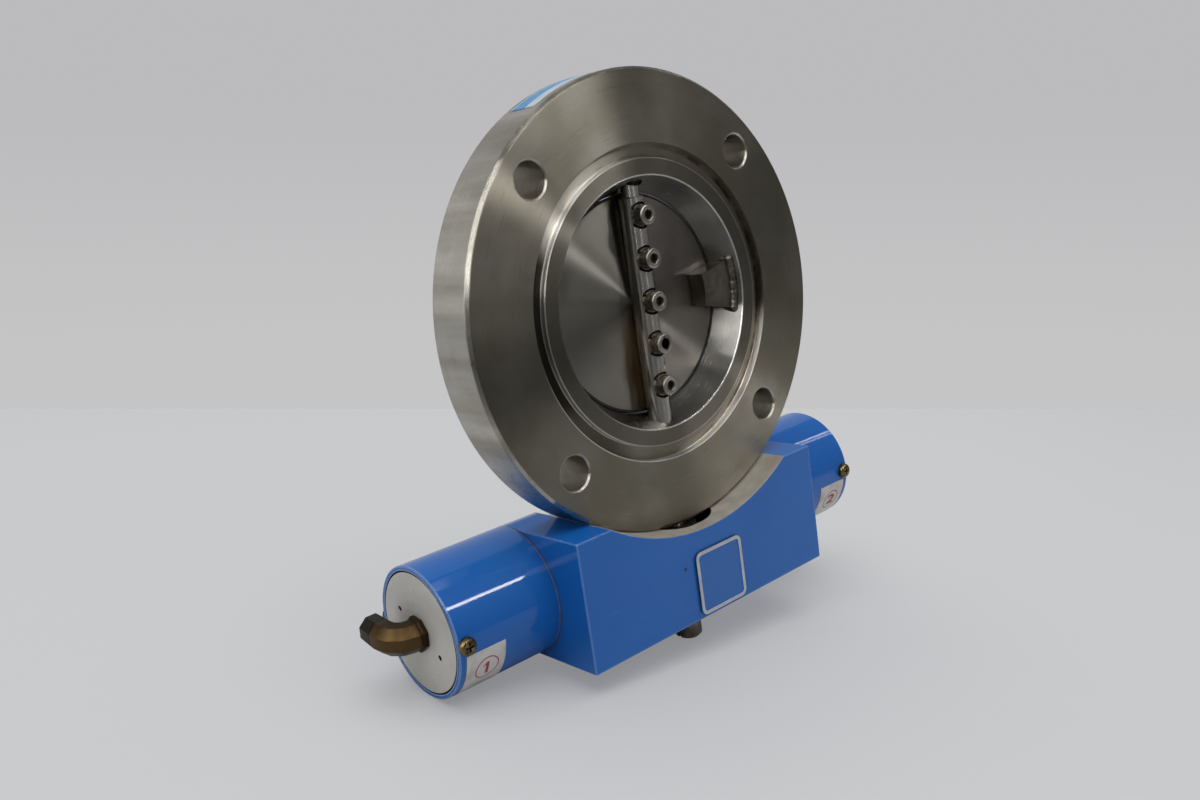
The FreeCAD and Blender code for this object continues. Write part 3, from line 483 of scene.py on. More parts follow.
def turned_stainless():
    """AISI 304 turned on a lathe: bright wedges across the marks, dirt in the groove, a smoother cone,
    painted highlights on the groove's lips, the mouth edge and the bolt-hole chamfers, a painted highlight
    and painted shade on the groove's left, and painted shade in the gap round the disc.
    """
    finish, tree, shader, place = start_finish("turned_stainless", 1.0, 0.3)
    radius = distance(tree, place, (1, 0, 1))
    split = add(tree, "ShaderNodeSeparateXYZ", {0: place})
    across, depth, height = split.outputs["X"], split.outputs["Y"], split.outputs["Z"]
    profile = add(tree, "ShaderNodeMath", {0: radius, 1: depth}, operation="ADD")
    marks = tool_marks(tree, profile, 0.35)
    coarse = tool_marks(tree, profile, 2.6)
    near_hole, reach = beside_bolt_hole(tree, place)
    hole_wall = add(tree, "ShaderNodeMath", {0: reach, 1: BOLT_HOLE + 0.55 * MM}, operation="LESS_THAN")
    # A pale ring on each bolt hole's chamfer, a painted highlight
    hole_edge_highlight = band(tree, reach, BOLT_HOLE + 0.1 * MM, BOLT_HOLE + 0.55 * MM, 0.05 * MM)
    front = band(tree, depth, front_y - MM, front_y + 4 * MM, MM)
    inside = where_all(
        tree, band(tree, radius, 0.0, MOUTH + 0.1 * MM, 0.3 * MM),
        band(tree, depth, front_y, back_y - MM, 0.5 * MM),
    )
    rim = band(tree, radius, flange_radius - MM, flange_radius + MM, 0.05 * MM)
    left = band(tree, across, -60 * MM, -30 * MM, 18 * MM)
    # The groove is painted lighter at the upper left as a highlight, and darker at the lower left as shade
    lower_left = where_all(tree, left, band(tree, height, -24 * MM, 20 * MM, 8 * MM))
    low_left = where_all(tree, left, band(tree, height, -60 * MM, -24 * MM, 8 * MM))
    upper_left = where_all(tree, left, band(tree, height, 27 * MM, 60 * MM, 6 * MM))
    right = band(tree, across, 30 * MM, 60 * MM, 30 * MM)
    bottom = band(tree, height, -60 * MM, -30 * MM, 24 * MM)
    land = where_all(
        tree, band(tree, radius, MOUTH + 0.5 * MM, GROOVE_INSIDE - 0.5 * MM, 0.2 * MM), front
    )
    groove = where_all(
        tree, band(tree, radius, GROOVE_INSIDE + 0.2 * MM, GROOVE_OUTSIDE - 0.1 * MM, 0.15 * MM),
        band(tree, depth, front_y + 1.4 * MM, back_y - 3 * MM, 0.8 * MM),
    )
    groove_dirt = where_all(
        tree, groove, right, 0.9, patches(tree, place, 9, 0.25, 0.6),
        band(tree, radius, GROOVE_OUTSIDE - 1.2 * MM, GROOVE_OUTSIDE + 0.15 * MM, 0.5 * MM),
    )
    # Near-white lines on the groove's inner and outer lips and on the mouth edge are painted highlights,
    # stronger on the left, the bottom and the right
    inner_lip_highlight = where_all(
        tree, band(tree, radius, GROOVE_INSIDE - 0.3 * MM, GROOVE_INSIDE + 0.15 * MM, 0.15 * MM), front,
        add(tree, "ShaderNodeMapRange", {"Value": left, "To Min": 0.3, "To Max": 0.75}),
    )
    outer_lip_highlight = where_all(
        tree, bottom, front,
        band(tree, radius, GROOVE_OUTSIDE - 0.1 * MM, GROOVE_OUTSIDE + 0.3 * MM, 0.1 * MM),
    )
    mouth_edge_highlight = band(tree, radius, MOUTH - 0.1 * MM, MOUTH + 0.3 * MM, 0.12 * MM)
    mouth_edge_highlight = where_all(tree, mouth_edge_highlight, front, band(tree, across, -6 * MM, 60 * MM, 30 * MM))
    # Near black in the bore round the disc and behind it: painted shade in the gap
    gap = where_all(
        tree, band(tree, radius, 0, disc_radius + 0.5 * MM, 0.2 * MM),
        band(tree, depth, disc_low.y - 0.2 * MM, back_y, 0.3 * MM),
    )
    round_rim = add(tree, "ShaderNodeMapping", {"Vector": place, "Scale": (1, 0.12, 1)})
    rim_colour = layered_colour(tree, "9c978b", (patches(tree, round_rim, 11, 0.3, 0.7, 5.0), "c6c2b9"))
    paint(
        tree, shader, "8d877a",
        (patches(tree, place, 26, 0.38, 0.68), "a19b90"),
        (where_all(tree, coarse, 0.25), "77725f"),
        (inside, "878580"),
        (rim, rim_colour),
        (hole_edge_highlight, "c9c5bb"),
        (where_all(tree, groove, upper_left, 0.8), "d2cdc2"),
        (where_all(tree, groove, lower_left, 0.85), "221f1b"),
        (where_all(tree, groove, low_left, 0.6), "3a332b"),
        (where_all(tree, land, 0.5), "5f5b53"),
        (groove_dirt, "4a3222"),
        (inner_lip_highlight, "efece6"),
        (outer_lip_highlight, "efece6"),
        (mouth_edge_highlight, "f4f2ee"),
        (gap, "15120f"),
    )
    uneven = patches(tree, place, 5, 0.35, 0.75)
    rough = marked_gloss(tree, marks, 0.26, 0.34)
    for share, change in ((uneven, 0.04), (inside, -0.08), (rim, -0.08)):
        rough = add(tree, "ShaderNodeMath", {0: share, 1: change, 2: rough}, operation="MULTIPLY_ADD")
    set_input(tree, shader, "Roughness", rough)
    bump = add(tree, "ShaderNodeBump", {"Strength": 0.05, "Distance": 0.03 * MM, "Height": marks})
    broken_edge = where_all(
        tree, left, band(tree, radius, GROOVE_INSIDE - 1.2 * MM, GROOVE_INSIDE + 0.8 * MM, 0.2 * MM)
    )
    worn_rim = band(tree, radius, flange_radius - 1.5 * MM, flange_radius + MM, 0.2 * MM)
    width = add(tree, "ShaderNodeMapRange", {
        "Value": where_any(tree, broken_edge, worn_rim), "To Min": 0.25 * MM, "To Max": 0.8 * MM,
    })
    soft_edges(tree, shader, width, bump)
    grain = add(tree, "ShaderNodeMix", {
        "Factor": hole_wall, "A": around_bore(tree, place), "B": around_bore(tree, near_hole),
    }, data_type="VECTOR")
    lay_grain(tree, shader, grain, 1.0, 0.25)
    return finish


def turned_plate():
    """Stainless plate faced on a lathe, heat-tinted golden below beside the shaft, with painted shade beside
    the shaft above, a lighter left half as a painted highlight and its rim painted black as shade.
    """
    finish, tree, shader, place = start_finish("turned_plate", 1.0, 0.3)
    radius = distance(tree, place, (1, 0, 1))
    split = add(tree, "ShaderNodeSeparateXYZ", {0: place})
    depth, height = split.outputs["Y"], split.outputs["Z"]
    marks = tool_marks(tree, radius, 0.3)
    drift = add(tree, "ShaderNodeTexNoise", {"Vector": place, "Scale": 90.0, "Detail": 2.0})
    drift = add(tree, "ShaderNodeMapRange", {
        "Value": drift, "From Min": 0.3, "From Max": 0.7, "To Min": -MM, "To Max": MM,
    })
    across = add(tree, "ShaderNodeMath", {0: split.outputs["X"], 1: drift}, operation="ADD")
    # The dark band beside the shaft above is painted shade; the golden band below it is heat tint
    beside_shaft = band(tree, across, -6.8 * MM, 4 * MM, 1.4 * MM)
    golden = band(tree, across, -7.4 * MM, -3.0 * MM, 2.6 * MM)
    above = band(tree, height, 4 * MM, 50 * MM, 16 * MM)
    below = band(tree, height, -50 * MM, -14 * MM, 14 * MM)
    left = band(tree, split.outputs["X"], -50 * MM, -6 * MM, 4 * MM)
    # The disc's rim is painted black and not metallic, painted shade in the gap to the bore
    edge = band(tree, depth, disc_low.y + 0.12 * MM, disc_high.y - 0.12 * MM, 0.06 * MM)
    front = band(tree, depth, disc_low.y - MM, disc_low.y + 0.1 * MM, 0.1 * MM)
    paint(
        tree, shader, "857f78",
        (patches(tree, place, 14, 0.3, 0.7), "98928b"),
        # The left half of the face is painted lighter, a painted highlight
        (where_all(tree, front, left, 0.45), "b3afa6"),
        (where_all(tree, front, above, left, 0.3), "878a7b"),
        (where_all(tree, front, golden, below, 0.45), "9a7c4a"),
        (where_all(tree, front, beside_shaft, above, 0.3), "3d3429"),
        (edge, "0b0a09"),
    )
    set_input(tree, shader, "Roughness", where_any(tree, marked_gloss(tree, marks, 0.28, 0.31), edge))
    set_input(tree, shader, "Metallic", elsewhere(tree, edge))
    lay_grain(tree, shader, around_bore(tree, place), 1.0, 0.25)
    return finish


def polished_bar():
    """Centreless ground bar: crisp streaks along its length, painted shade in rings round the screws and down
    its left side, and a painted contact shadow along its right edge.
    """
    finish, tree, shader, place = start_finish("polished_bar", 1.0, 0.2)
    split = add(tree, "ShaderNodeSeparateXYZ", {0: place})
    from_first = add(tree, "ShaderNodeMath", {0: split.outputs["Z"], 1: FIRST_SCREW}, operation="SUBTRACT")
    from_screw = add(
        tree, "ShaderNodeMath", {0: from_first, 1: -SCREW_PITCH / 2, 2: SCREW_PITCH / 2}, operation="WRAP"
    )
    beside_screw = add(tree, "ShaderNodeCombineXYZ", {"X": split.outputs["X"], "Z": from_screw})
    reach = distance(tree, beside_screw, (1, 0, 1))
    inward = distance(tree, place, (1, 1, 0))
    # Painted shade in the spot faces round each screw, which are also rougher
    screw_shade = where_all(
        tree, band(tree, reach, 0, 4.9 * MM, 0.2 * MM),
        band(tree, inward, 0, shaft_radius - 0.2 * MM, 0.1 * MM),
        band(tree, split.outputs["Y"], -20 * MM, 0, 0.5 * MM),
    )
    # Painted shade down the bar's left side, and a painted contact shadow along its right edge where it meets
    # the disc
    corner = band(tree, split.outputs["X"], -8 * MM, -3.6 * MM, 1.2 * MM)
    seam = band(tree, split.outputs["X"], shaft_radius - 0.45 * MM, 8 * MM, 0.35 * MM)
    paint(
        tree, shader, "b9b5ae",
        (patches(tree, place, 8, 0.35, 0.7), "c6c2bb"),
        (where_all(tree, corner, 0.6), "3c362e"),
        (where_all(tree, seam, 0.8), "241f1a"),
        (screw_shade, "2a2622"),
    )
    marks = tool_marks(tree, split.outputs["Z"], 3.0)
    rough = marked_gloss(tree, marks, 0.21, 0.24)
    rough = add(tree, "ShaderNodeMath", {0: screw_shade, 1: 0.3, 2: rough}, operation="MULTIPLY_ADD")
    set_input(tree, shader, "Roughness", rough)
    lay_grain(tree, shader, add(tree, "ShaderNodeCombineXYZ", {"Z": 1.0}), 0.8, 0.0)
    return finish


def uneven_gloss(tree, mask, roughness, spread):
    """Roughness that varies by a spread to both sides, as a mask does."""
    return add(tree, "ShaderNodeMapRange", {
        "Value": mask, "To Min": roughness - spread, "To Max": roughness + spread,
    })


def uneven_skin(tree, place, size, strength, depth, detail):
    """Small bumps for the gloss to follow. Size and depth are in millimetres."""
    noise = add(tree, "ShaderNodeTexNoise", {"Vector": place, "Scale": 1 / (size * MM), "Detail": detail})
    return add(tree, "ShaderNodeBump", {"Strength": strength, "Distance": depth * MM, "Height": noise})


def plain_steel(name, light, dark, roughness, spread, size):
    """Bare steel with uneven gloss and tone."""
    finish, tree, shader, place = start_finish(name, 1.0, roughness)
    cloud = patches(tree, place, size, 0.3, 0.72)
    paint(tree, shader, dark, (cloud, light))
    fine = patches(tree, place, size / 5, 0.3, 0.75)
    set_input(tree, shader, "Roughness", uneven_gloss(tree, fine, roughness, spread))
    set_input(tree, shader, "Normal", uneven_skin(tree, place, size / 12, 0.15, 0.03, 3.0))
    return finish


def soft_stuff(name, light, dark, roughness, size):
    """Plastic, rubber, or the painted shade in a screw socket, with a fine uneven surface."""
    finish, tree, shader, place = start_finish(name, 0.0, roughness)
    cloud = patches(tree, place, size, 0.3, 0.7)
    paint(tree, shader, dark, (cloud, light))
    set_input(tree, shader, "Roughness", uneven_gloss(tree, cloud, roughness, 0.06))
    set_input(tree, shader, "Normal", uneven_skin(tree, place, size / 8, 0.2, 0.04, 2.0))
    return finish


def blue_enamel():
    """Glossy baked enamel with an orange-peel skin, pale on its edges from wear and as a painted highlight.
    There is brown dirt where the cylinders meet the block, the cradle and the inside of the block are bare,
    and the inside is painted near black as shade."""
    finish, tree, shader, place = start_finish("blue_enamel", 0.0, 0.5)
    split = add(tree, "ShaderNodeSeparateXYZ", {0: place})
    depth, height = split.outputs["Y"], split.outputs["Z"]
    side = distance(tree, place, (1, 0, 0))
    around = distance(tree, place, (0, 1, 1), CYLINDER_AXIS)
    joint = where_all(
        tree, band(tree, side, block_high.x - 0.2 * MM, block_high.x + 0.25 * MM, 0.5 * MM),
        band(tree, around, 0, tube_radius + 0.8 * MM, 0.8 * MM),
        patches(tree, place, 4, 0.2, 0.55), 0.5,
    )
    scuff = add(tree, "ShaderNodeMapping", {
        "Vector": place, "Rotation": (0.5, 0.2, 0.9), "Scale": (60, 1400, 700),
    })
    scuff = add(tree, "ShaderNodeTexNoise", {"Vector": scuff, "Scale": 1.0, "Detail": 2.0})
    scuff = add(tree, "ShaderNodeMapRange", {
        "Value": scuff, "From Min": 0.68, "From Max": 0.82, "To Max": 0.2,
    })
    worn = []
    for spot, size, tone in ((CHIP, 0.9 * MM, "5d5f60"), (DARK_DOT, 0.8 * MM, "1c1f28")):
        reach = distance(tree, place, (1, 1, 1), spot)
        worn.append((band(tree, reach, 0, size * 0.6, size * 0.4), tone))
    back_skin = where_all(
        tree, band(tree, around, tube_radius - MM, tube_radius + MM, 0.3 * MM),
        band(tree, depth, axis_y, block_high.y, 0.5 * MM),
    )
    # The inside of the block is painted near black: painted shade
    shaded_hollow = where_all(
        tree, band(tree, side, 0, 22 * MM, 0.5 * MM), elsewhere(tree, back_skin),
        band(tree, depth, block_low.y + 1.5 * MM, block_high.y - 1.5 * MM, 0.5 * MM),
        band(tree, height, block_low.z + MM, block_high.z + MM, 0.5 * MM),
    )
    cradle = band(tree, distance(tree, place, (1, 0, 1)), 0, flange_radius + 0.25 * MM, 0.1 * MM)
    bare = layered_colour(tree, "a29c92", (patches(tree, place, 6, 0.3, 0.7), "b4afa6"))
    # The pale edges are wear and a painted highlight
    paint(
        tree, shader, "0c5eb2", (patches(tree, place, 40, 0.3, 0.7), "1063b6"), (scuff, "5f8cc4"),
        (where_all(tree, sharp_edges(tree, 0.9 * MM), 0.9), "a9caf0"), (joint, "4a3d3a"), *worn,
        (shaded_hollow, "141210"), (cradle, bare),
    )
    set_input(tree, shader, "Metallic", where_all(tree, cradle, 0.3))
    top = where_all(
        tree, band(tree, side, 0, block_high.x, 0.3 * MM),
        band(tree, height, block_high.z - 0.1 * MM, block_high.z + MM, 0.05 * MM),
    )
    coat = add(tree, "ShaderNodeMapRange", {"Value": top, "To Min": 0.85, "To Max": 0.3})
    glossy = elsewhere(tree, where_any(tree, cradle, shaded_hollow))
    set_input(tree, shader, "Coat Weight", where_all(tree, coat, glossy))
    soft_edges(tree, shader, 0.5 * MM, uneven_skin(tree, place, 2.2, 0.012, 0.04, 1.0))
    tree.links.new(shader.inputs["Normal"].links[0].from_socket, shader.inputs["Coat Normal"])
    shader.inputs["Coat Roughness"].default_value = 0.06
    shader.inputs["Specular IOR Level"].default_value = 0.1
    return finish


def blasted_aluminium():
    """Bead-blasted and anodised aluminium, pale and matte, a little marked by handling, with painted shade in
    its holes.
    """
    finish, tree, shader, place = start_finish("blasted_aluminium", 0.45, 0.55)
    around = distance(tree, place, (0, 1, 1), CYLINDER_AXIS)
    marks = patches(tree, place, 2.2, 0.66, 0.74)
    edge = band(tree, around, cap_radius - 0.25 * MM, cap_radius, 0.15 * MM)
    # Surfaces sunk below the cap's face are painted dark: painted shade
    hole_shade = band(tree, distance(tree, place, (1, 0, 0)), 0, -cap_low.x - 0.35 * MM, 0.15 * MM)
    paint(
        tree, shader, "c3c1bb", (patches(tree, place, 12, 0.3, 0.72), "cfcdc8"),
        (where_all(tree, marks, 0.35), "8d8a82"), (edge, "26262a"), (hole_shade, "1d1c1a"),
    )
    soft_edges(tree, shader, 0.25 * MM, uneven_skin(tree, place, 0.25, 0.25, 0.03, 2.0))
    return finish


def plate_enamel():
    """Stamped plate: raised silver frame, painted blue field, and its edges painted dark as shade."""
    finish, tree, shader, place = start_finish("plate_enamel", 1.0, 0.4)
    depth = add(tree, "ShaderNodeSeparateXYZ", {0: place}).outputs["Y"]
    field = band(tree, depth, plate_low.y + 0.15 * MM, plate_low.y + 0.4 * MM, 0.05 * MM)
    # The plate's sides are painted dark: painted shade
    edge = band(tree, depth, plate_low.y + 0.4 * MM, plate_high.y + MM, 0.05 * MM)
    paint(
        tree, shader, "c4c7ce", (patches(tree, place, 5, 0.3, 0.7), "d6d9de"),
        (field, "2766b4"), (edge, "2b2b30"),
    )
    set_input(tree, shader, "Metallic", elsewhere(tree, where_any(tree, field, edge)))
    return finish


def aged_brass(name, fresh, grime, size, roughness):
    """Forged or turned brass under brown grime."""
    finish, tree, shader, place = start_finish(name, 1.0, roughness)
    cloud = patches(tree, place, size, 0.32, 0.66)
    paint(tree, shader, fresh, (cloud, grime))
    set_input(tree, shader, "Roughness", uneven_gloss(tree, cloud, roughness, 0.12))
    set_input(tree, shader, "Normal", uneven_skin(tree, place, 0.8, 0.25, 0.05, 3.0))
    return finish


def elbow_brass():
    """Forged brass elbow, browned by heat, nearly black at the collar and the free end."""
    finish, tree, shader, place = start_finish("elbow_brass", 1.0, 0.38)
    depth = add(tree, "ShaderNodeSeparateXYZ", {0: place}).outputs["Y"]
    collar = band(tree, distance(tree, place, (1, 0, 0)), 0, tube_end_x + 2.2 * MM, 0.4 * MM)
    free_end = band(tree, depth, axis_y + 8.6 * MM, axis_y + 40 * MM, 0.6 * MM)
    seam = band(tree, depth, axis_y + 7.9 * MM, axis_y + 8.2 * MM, 0.3 * MM)
    paint(
        tree, shader, "5b482e", (patches(tree, place, 9, 0.3, 0.7), "3f3220"), (collar, "33281d"),
        (where_all(tree, free_end, 0.85), "2b2a22"), (seam, "1c1711"),
    )
    soft_edges(tree, shader, 0.3 * MM, uneven_skin(tree, place, 0.8, 0.2, 0.04, 3.0))
    return finish


def label_paper():
    """Glossy white sticker, greyed by handling."""
    finish, tree, shader, place = start_finish("label_paper", 0.0, 0.4)
    grime = patches(tree, place, 7, 0.4, 0.75)
    paint(tree, shader, "d0ccc8", (grime, "b3aba4"))
    shader.inputs["Coat Weight"].default_value = 0.3
    return finish


def rim_sticker():
    """Foil sticker: a white strip at the front and a plain blue panel behind it."""
    finish, tree, shader, place = start_finish("rim_sticker", 0.0, 0.35)
    depth = add(tree, "ShaderNodeSeparateXYZ", {0: place}).outputs["Y"]
    panel = band(tree, depth, rim_label_low.y + 5.0 * MM, rim_label_high.y - 0.8 * MM, 0.3 * MM)
    blue = layered_colour(tree, "2f7fb8", (patches(tree, place, 2.5, 0.35, 0.65), "4b94c8"))
    paint(
        tree, shader, "c3cbd2", (patches(tree, place, 5, 0.35, 0.7), "b0bac4"), (panel, blue),
    )
    return finish


def red_ink():
    """Printed ink, worn thin in places."""
    finish, tree, shader, place = start_finish("red_ink", 0.0, 0.5)
    worn = patches(tree, place, 1.2, 0.35, 0.75)
    paint(tree, shader, "a02430", (worn, "b0404a"))
    return finish


finishes = {
    "valve_body": turned_stainless(),
    "throttle_disc": turned_plate(),
    "disc_shaft": polished_bar(),
    "weld": plain_steel("weld_metal", "857f75", "57524a", 0.32, 0.08, 1.5),
    "stop": plain_steel("sawn_stainless", "78736a", "635e55", 0.36, 0.08, 12),
    "screws": plain_steel("screw_steel", "b0aba2", "948e84", 0.34, 0.06, 6),
    "washers": plain_steel("washer_steel", "b4aea4", "857e74", 0.3, 0.06, 3),
    "gear": plain_steel("oiled_steel", "6d6a64", "3e3a35", 0.35, 0.1, 6),
    "pinion": plain_steel("greasy_steel", "8f887c", "665e53", 0.42, 0.1, 4),
    "paint": blue_enamel(),
    "cap": blasted_aluminium(),
    "plate": plate_enamel(),
    "elbow": elbow_brass(),
    "cap_screw": aged_brass("brass_plate", "8e7d55", "4a4232", 3, 0.32),
    "bronze": aged_brass("sintered_bronze", "8a6d42", "5c482e", 5, 0.45),
    "label": label_paper(),
    "rim_label": rim_sticker(),
    "ink": red_ink(),
    # The dark fill of the screw sockets is painted shade
    "socket": soft_stuff("socket_shade", "3f3b36", "26231f", 0.3, 1),
    # The knurled head sides are darker from the knurl and as a painted reflection of the dark room
    "knurl": plain_steel("knurled_shaded_steel", "7b766c", "3d3932", 0.38, 0.08, 1),
    "rubber": soft_stuff("nitrile_rubber", "222222", "141414", 0.6, 3),
    "plastic": soft_stuff("filled_ptfe", "d9d5c8", "c6c1b2", 0.5, 4),
    "piston": plain_steel("turned_aluminium", "b9bbbe", "a4a6a8", 0.32, 0.06, 10),
}
node_finish = {
    "valve_body": "valve_body", "disc_stop": "stop", "stop_weld": "weld", "top_bush": "gear",
    "shaft_bush": "bronze", "shaft_seals": "rubber", "seal_retainer": "bronze", "rim_label": "rim_label",
    "actuator_housing": "paint", "body_screws": "screws", "pinion_bush": "bronze", "thrust_washer": "plastic",
    "rack_guide": "plastic", "nameplate": "plate", "disc_shaft": "disc_shaft",
    "throttle_disc": "throttle_disc", "disc_screws": "screws", "spring_washers": "washers",
    "pinion": "pinion", "hub_pin": "gear", "circlip": "gear", "rack_bar": "gear", "piston_bolts": "screws",
    "piston_seals": "rubber", "wear_rings": "plastic",
}
for side in ("left", "right"):
    node_finish.update({
        side + "_cylinder_tube": "paint", side + "_tube_screws": "screws", side + "_end_cap": "cap",
        side + "_cap_seal": "rubber", side + "_cap_screws": "cap_screw", side + "_elbow": "elbow",
        side + "_port_label": "label", side + "_piston": "piston",
    })
for node, finish_name in node_finish.items():
    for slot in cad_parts[node].material_slots:
        slot.material = finishes[finish_name]


# Pieces made here in place of plain solids

# Edges of a smooth ring, and the distance within which points are joined
ROUND = 48
WELD_REACH = 0.002 * MM


def piece(name, form, body, finish, slot, *stands_for, sharp=35, more_finishes=()):
    """Turns a bmesh into a piece of the valve that rides on a body and stands for plain nodes."""
    bmesh.ops.remove_doubles(form, verts=form.verts, dist=WELD_REACH)
    bmesh.ops.recalc_face_normals(form, faces=form.faces)
    mesh = new_mesh(name, form)
    mesh.shade_smooth()
    mesh.set_sharp_from_angle(angle=math.radians(sharp))
    for name_of_finish in (finish,) + more_finishes:
        mesh.materials.append(finishes[name_of_finish])
    thing = new_object(name, mesh)
    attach(thing, body)
    if stands_for:
        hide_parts(*stands_for)


def loop(form, sides, radius, turn, place):
    """A closed ring of edges: a polygon of some sides, cut into as many edges as a smooth ring has."""
    made = bmesh.ops.create_circle(
        form, cap_ends=False, segments=sides, radius=radius, matrix=place @ Matrix.Rotation(turn, 4, "Z")
    )
    edges = list({edge for vert in made["verts"] for edge in vert.link_edges})
    if sides < ROUND:
        cut = bmesh.ops.subdivide_edges(form, edges=edges, cuts=ROUND // sides - 1)
        edges = [edge for edge in cut["geom"] if isinstance(edge, bmesh.types.BMEdge)]
        edges = list({edge for edge in edges if edge.is_valid})
    return edges


def skin(form, loops, closed_ends=True):
    """Joins a row of rings into one skin and closes its two ends."""
    for first, second in zip(loops, loops[1:]):
        bmesh.ops.bridge_loops(form, edges=first + second)
    if closed_ends:
        for end in (loops[0], loops[-1]):
            bmesh.ops.holes_fill(form, edges=end, sides=0)


def finished_mesh(thing):
    """The mesh of an object after its modifiers. The object itself is removed."""
    mesh = bpy.data.meshes.new_from_object(thing.evaluated_get(bpy.context.evaluated_depsgraph_get()))
    bpy.data.objects.remove(thing)
    return mesh


# Socket head screws of the disc

def socket_screw(form, x, z, top):
    """One cap screw that looks to the front: rounded head edge, chamfered hexagon socket."""
    face = Matrix.Translation((x, top, z)) @ Matrix.Rotation(math.radians(90), 4, "X")

    def ring(radius, depth, sides=ROUND):
        return loop(form, sides, radius, 0, Matrix.Translation((0, depth, 0)) @ face)

    edge = 0.55 * MM
    corner = SOCKET_FLATS / math.sqrt(3)
    loops = [ring(SHANK_RADIUS, screws_high.y - top), ring(SHANK_RADIUS, HEAD_HEIGHT + 0.01 * MM)]
    loops += [ring(HEAD_RADIUS - 0.15 * MM, HEAD_HEIGHT), ring(HEAD_RADIUS, HEAD_HEIGHT - 0.15 * MM)]
    for step in range(6):
        turn = math.radians(90 * step / 5)
        loops.append(ring(HEAD_RADIUS - edge * (1 - math.cos(turn)), edge * (1 - math.sin(turn))))
    loops += [ring(corner + 0.22 * MM, 0), ring(corner + 0.12 * MM, 0.06 * MM)]
    loops += [ring(corner, 0.3 * MM, 6), ring(corner, SOCKET_DEPTH, 6)]
    skin(form, loops)


def make_disc_screws():
    """Five screws with bright tops, knurled sides that are also painted darker as a reflection, and painted
    shade in their sockets.
    """
    form = bmesh.new()
    places = [FIRST_SCREW + SCREW_PITCH * index for index in range(SCREW_COUNT)]
    for z in places:
        socket_screw(form, 0, z, screws_low.y)
    for face in form.faces:
        middle = face.calc_center_median()
        reach = min(math.hypot(middle.x, middle.z - z) for z in places)
        below_top = middle.y - screws_low.y
        if reach < 0.6 * SOCKET_FLATS and 0.15 * MM < below_top < SOCKET_DEPTH + 0.1 * MM:
            face.material_index = 1
        elif reach > HEAD_RADIUS - 0.1 * MM and 0.6 * MM < below_top < HEAD_HEIGHT:
            face.material_index = 2
    piece(
        "socket_screws", form, "throttle", "screws", "steel_screws", "disc_screws",
        more_finishes=("socket", "knurl"),
    )


# Dark lip on the disc's edge, which closes half of the gap to the bore
LIP_REACH = 0.45 * MM
LIP_START = 0.3 * MM
LIP_WIDTH = 0.8 * MM
LIP_SIDES = 144


def make_edge_lip():
    """A thin ring of rubber on the disc's edge. It stays inside the round space that the disc turns in."""
    form = bmesh.new()
    corner = 0.1 * MM
    start = disc_low.y + LIP_START
    end = start + LIP_WIDTH
    inside = disc_radius - corner
    outside = disc_radius + LIP_REACH
    profile = (
        (inside, start), (outside - corner, start), (outside, start + corner),
        (outside, end - corner), (outside - corner, end), (inside, end),
    )
    facing = Matrix.Rotation(math.radians(90), 4, "X")
    loops = [
        loop(form, LIP_SIDES, radius, 0, Matrix.Translation((0, depth, 0)) @ facing)
        for radius, depth in profile
    ]
    skin(form, loops + loops[:1], closed_ends=False)
    piece("edge_lip", form, "throttle", "rubber", "nitrile_rubber")


# Rippled weld bead round the stop
BEAD_RADIUS = 1.8 * MM
BEAD_STEP = 0.7 * MM
BEAD_TURN = math.radians(12.4)
BEAD_SIDE_DROPS = 6
BEAD_INSET = 0.9 * MM
BEAD_BACK_INSET = 1.5 * MM
BEAD_VOXEL = 0.3 * MM


def bead_route():
    """The places of the drops: along one side of the stop, across its front and along the other side."""
    wall = weld_high.x - BEAD_INSET
    front = stop_low.y
    back = stop_high.y - BEAD_BACK_INSET
    along = [back + (front - back) * index / BEAD_SIDE_DROPS for index in range(BEAD_SIDE_DROPS)]
    arc = round(2 * BEAD_TURN * wall / BEAD_STEP)
    turns = [(BEAD_TURN, depth) for depth in along]
    turns += [(BEAD_TURN - 2 * BEAD_TURN * index / arc, front) for index in range(arc + 1)]
    turns += [(-BEAD_TURN, depth) for depth in reversed(along)]
    return [Vector((wall * math.cos(turn), depth, wall * math.sin(turn))) for turn, depth in turns]


def make_weld():
    """Overlapping drops along the sides and the front of the stop, melted together by a remesh."""
    form = bmesh.new()
    for index, middle in enumerate(bead_route()):
        swell = 1 + 0.03 * math.sin(index * 2.4) + 0.02 * math.sin(index * 5.1)
        bmesh.ops.create_icosphere(
            form, subdivisions=3, radius=BEAD_RADIUS * swell, matrix=Matrix.Translation(middle)
        )
    drops = new_object("drops", new_mesh("drops", form))
    remesh = drops.modifiers.new("melt", "REMESH")
    remesh.mode = "VOXEL"
    remesh.voxel_size = BEAD_VOXEL
    solid = finished_mesh(drops)
    form = bmesh.new()
    form.from_mesh(solid)
    bpy.data.meshes.remove(solid)
    bmesh.ops.smooth_vert(
        form, verts=form.verts, factor=0.5, use_axis_x=True, use_axis_y=True, use_axis_z=True
    )
    piece("weld_bead", form, "base", "weld", "weld_bead", "stop_weld", sharp=60)


# Elbow fittings
ELBOW_FLATS = 10.0 * MM
ELBOW_END_FLATS = 9.2 * MM
ELBOW_COLLAR = 11.5 * MM
ELBOW_COLLAR_LENGTH = 1.8 * MM
ELBOW_REACH = 9.0 * MM
ELBOW_LEG = 15.0 * MM
ELBOW_BEND = 5.8 * MM
ELBOW_TURN = math.radians(8.0)
ELBOW_BORE = 2.5 * MM
THREAD_RADIUS = 4.7 * MM
THREAD_LENGTH = 8.5 * MM


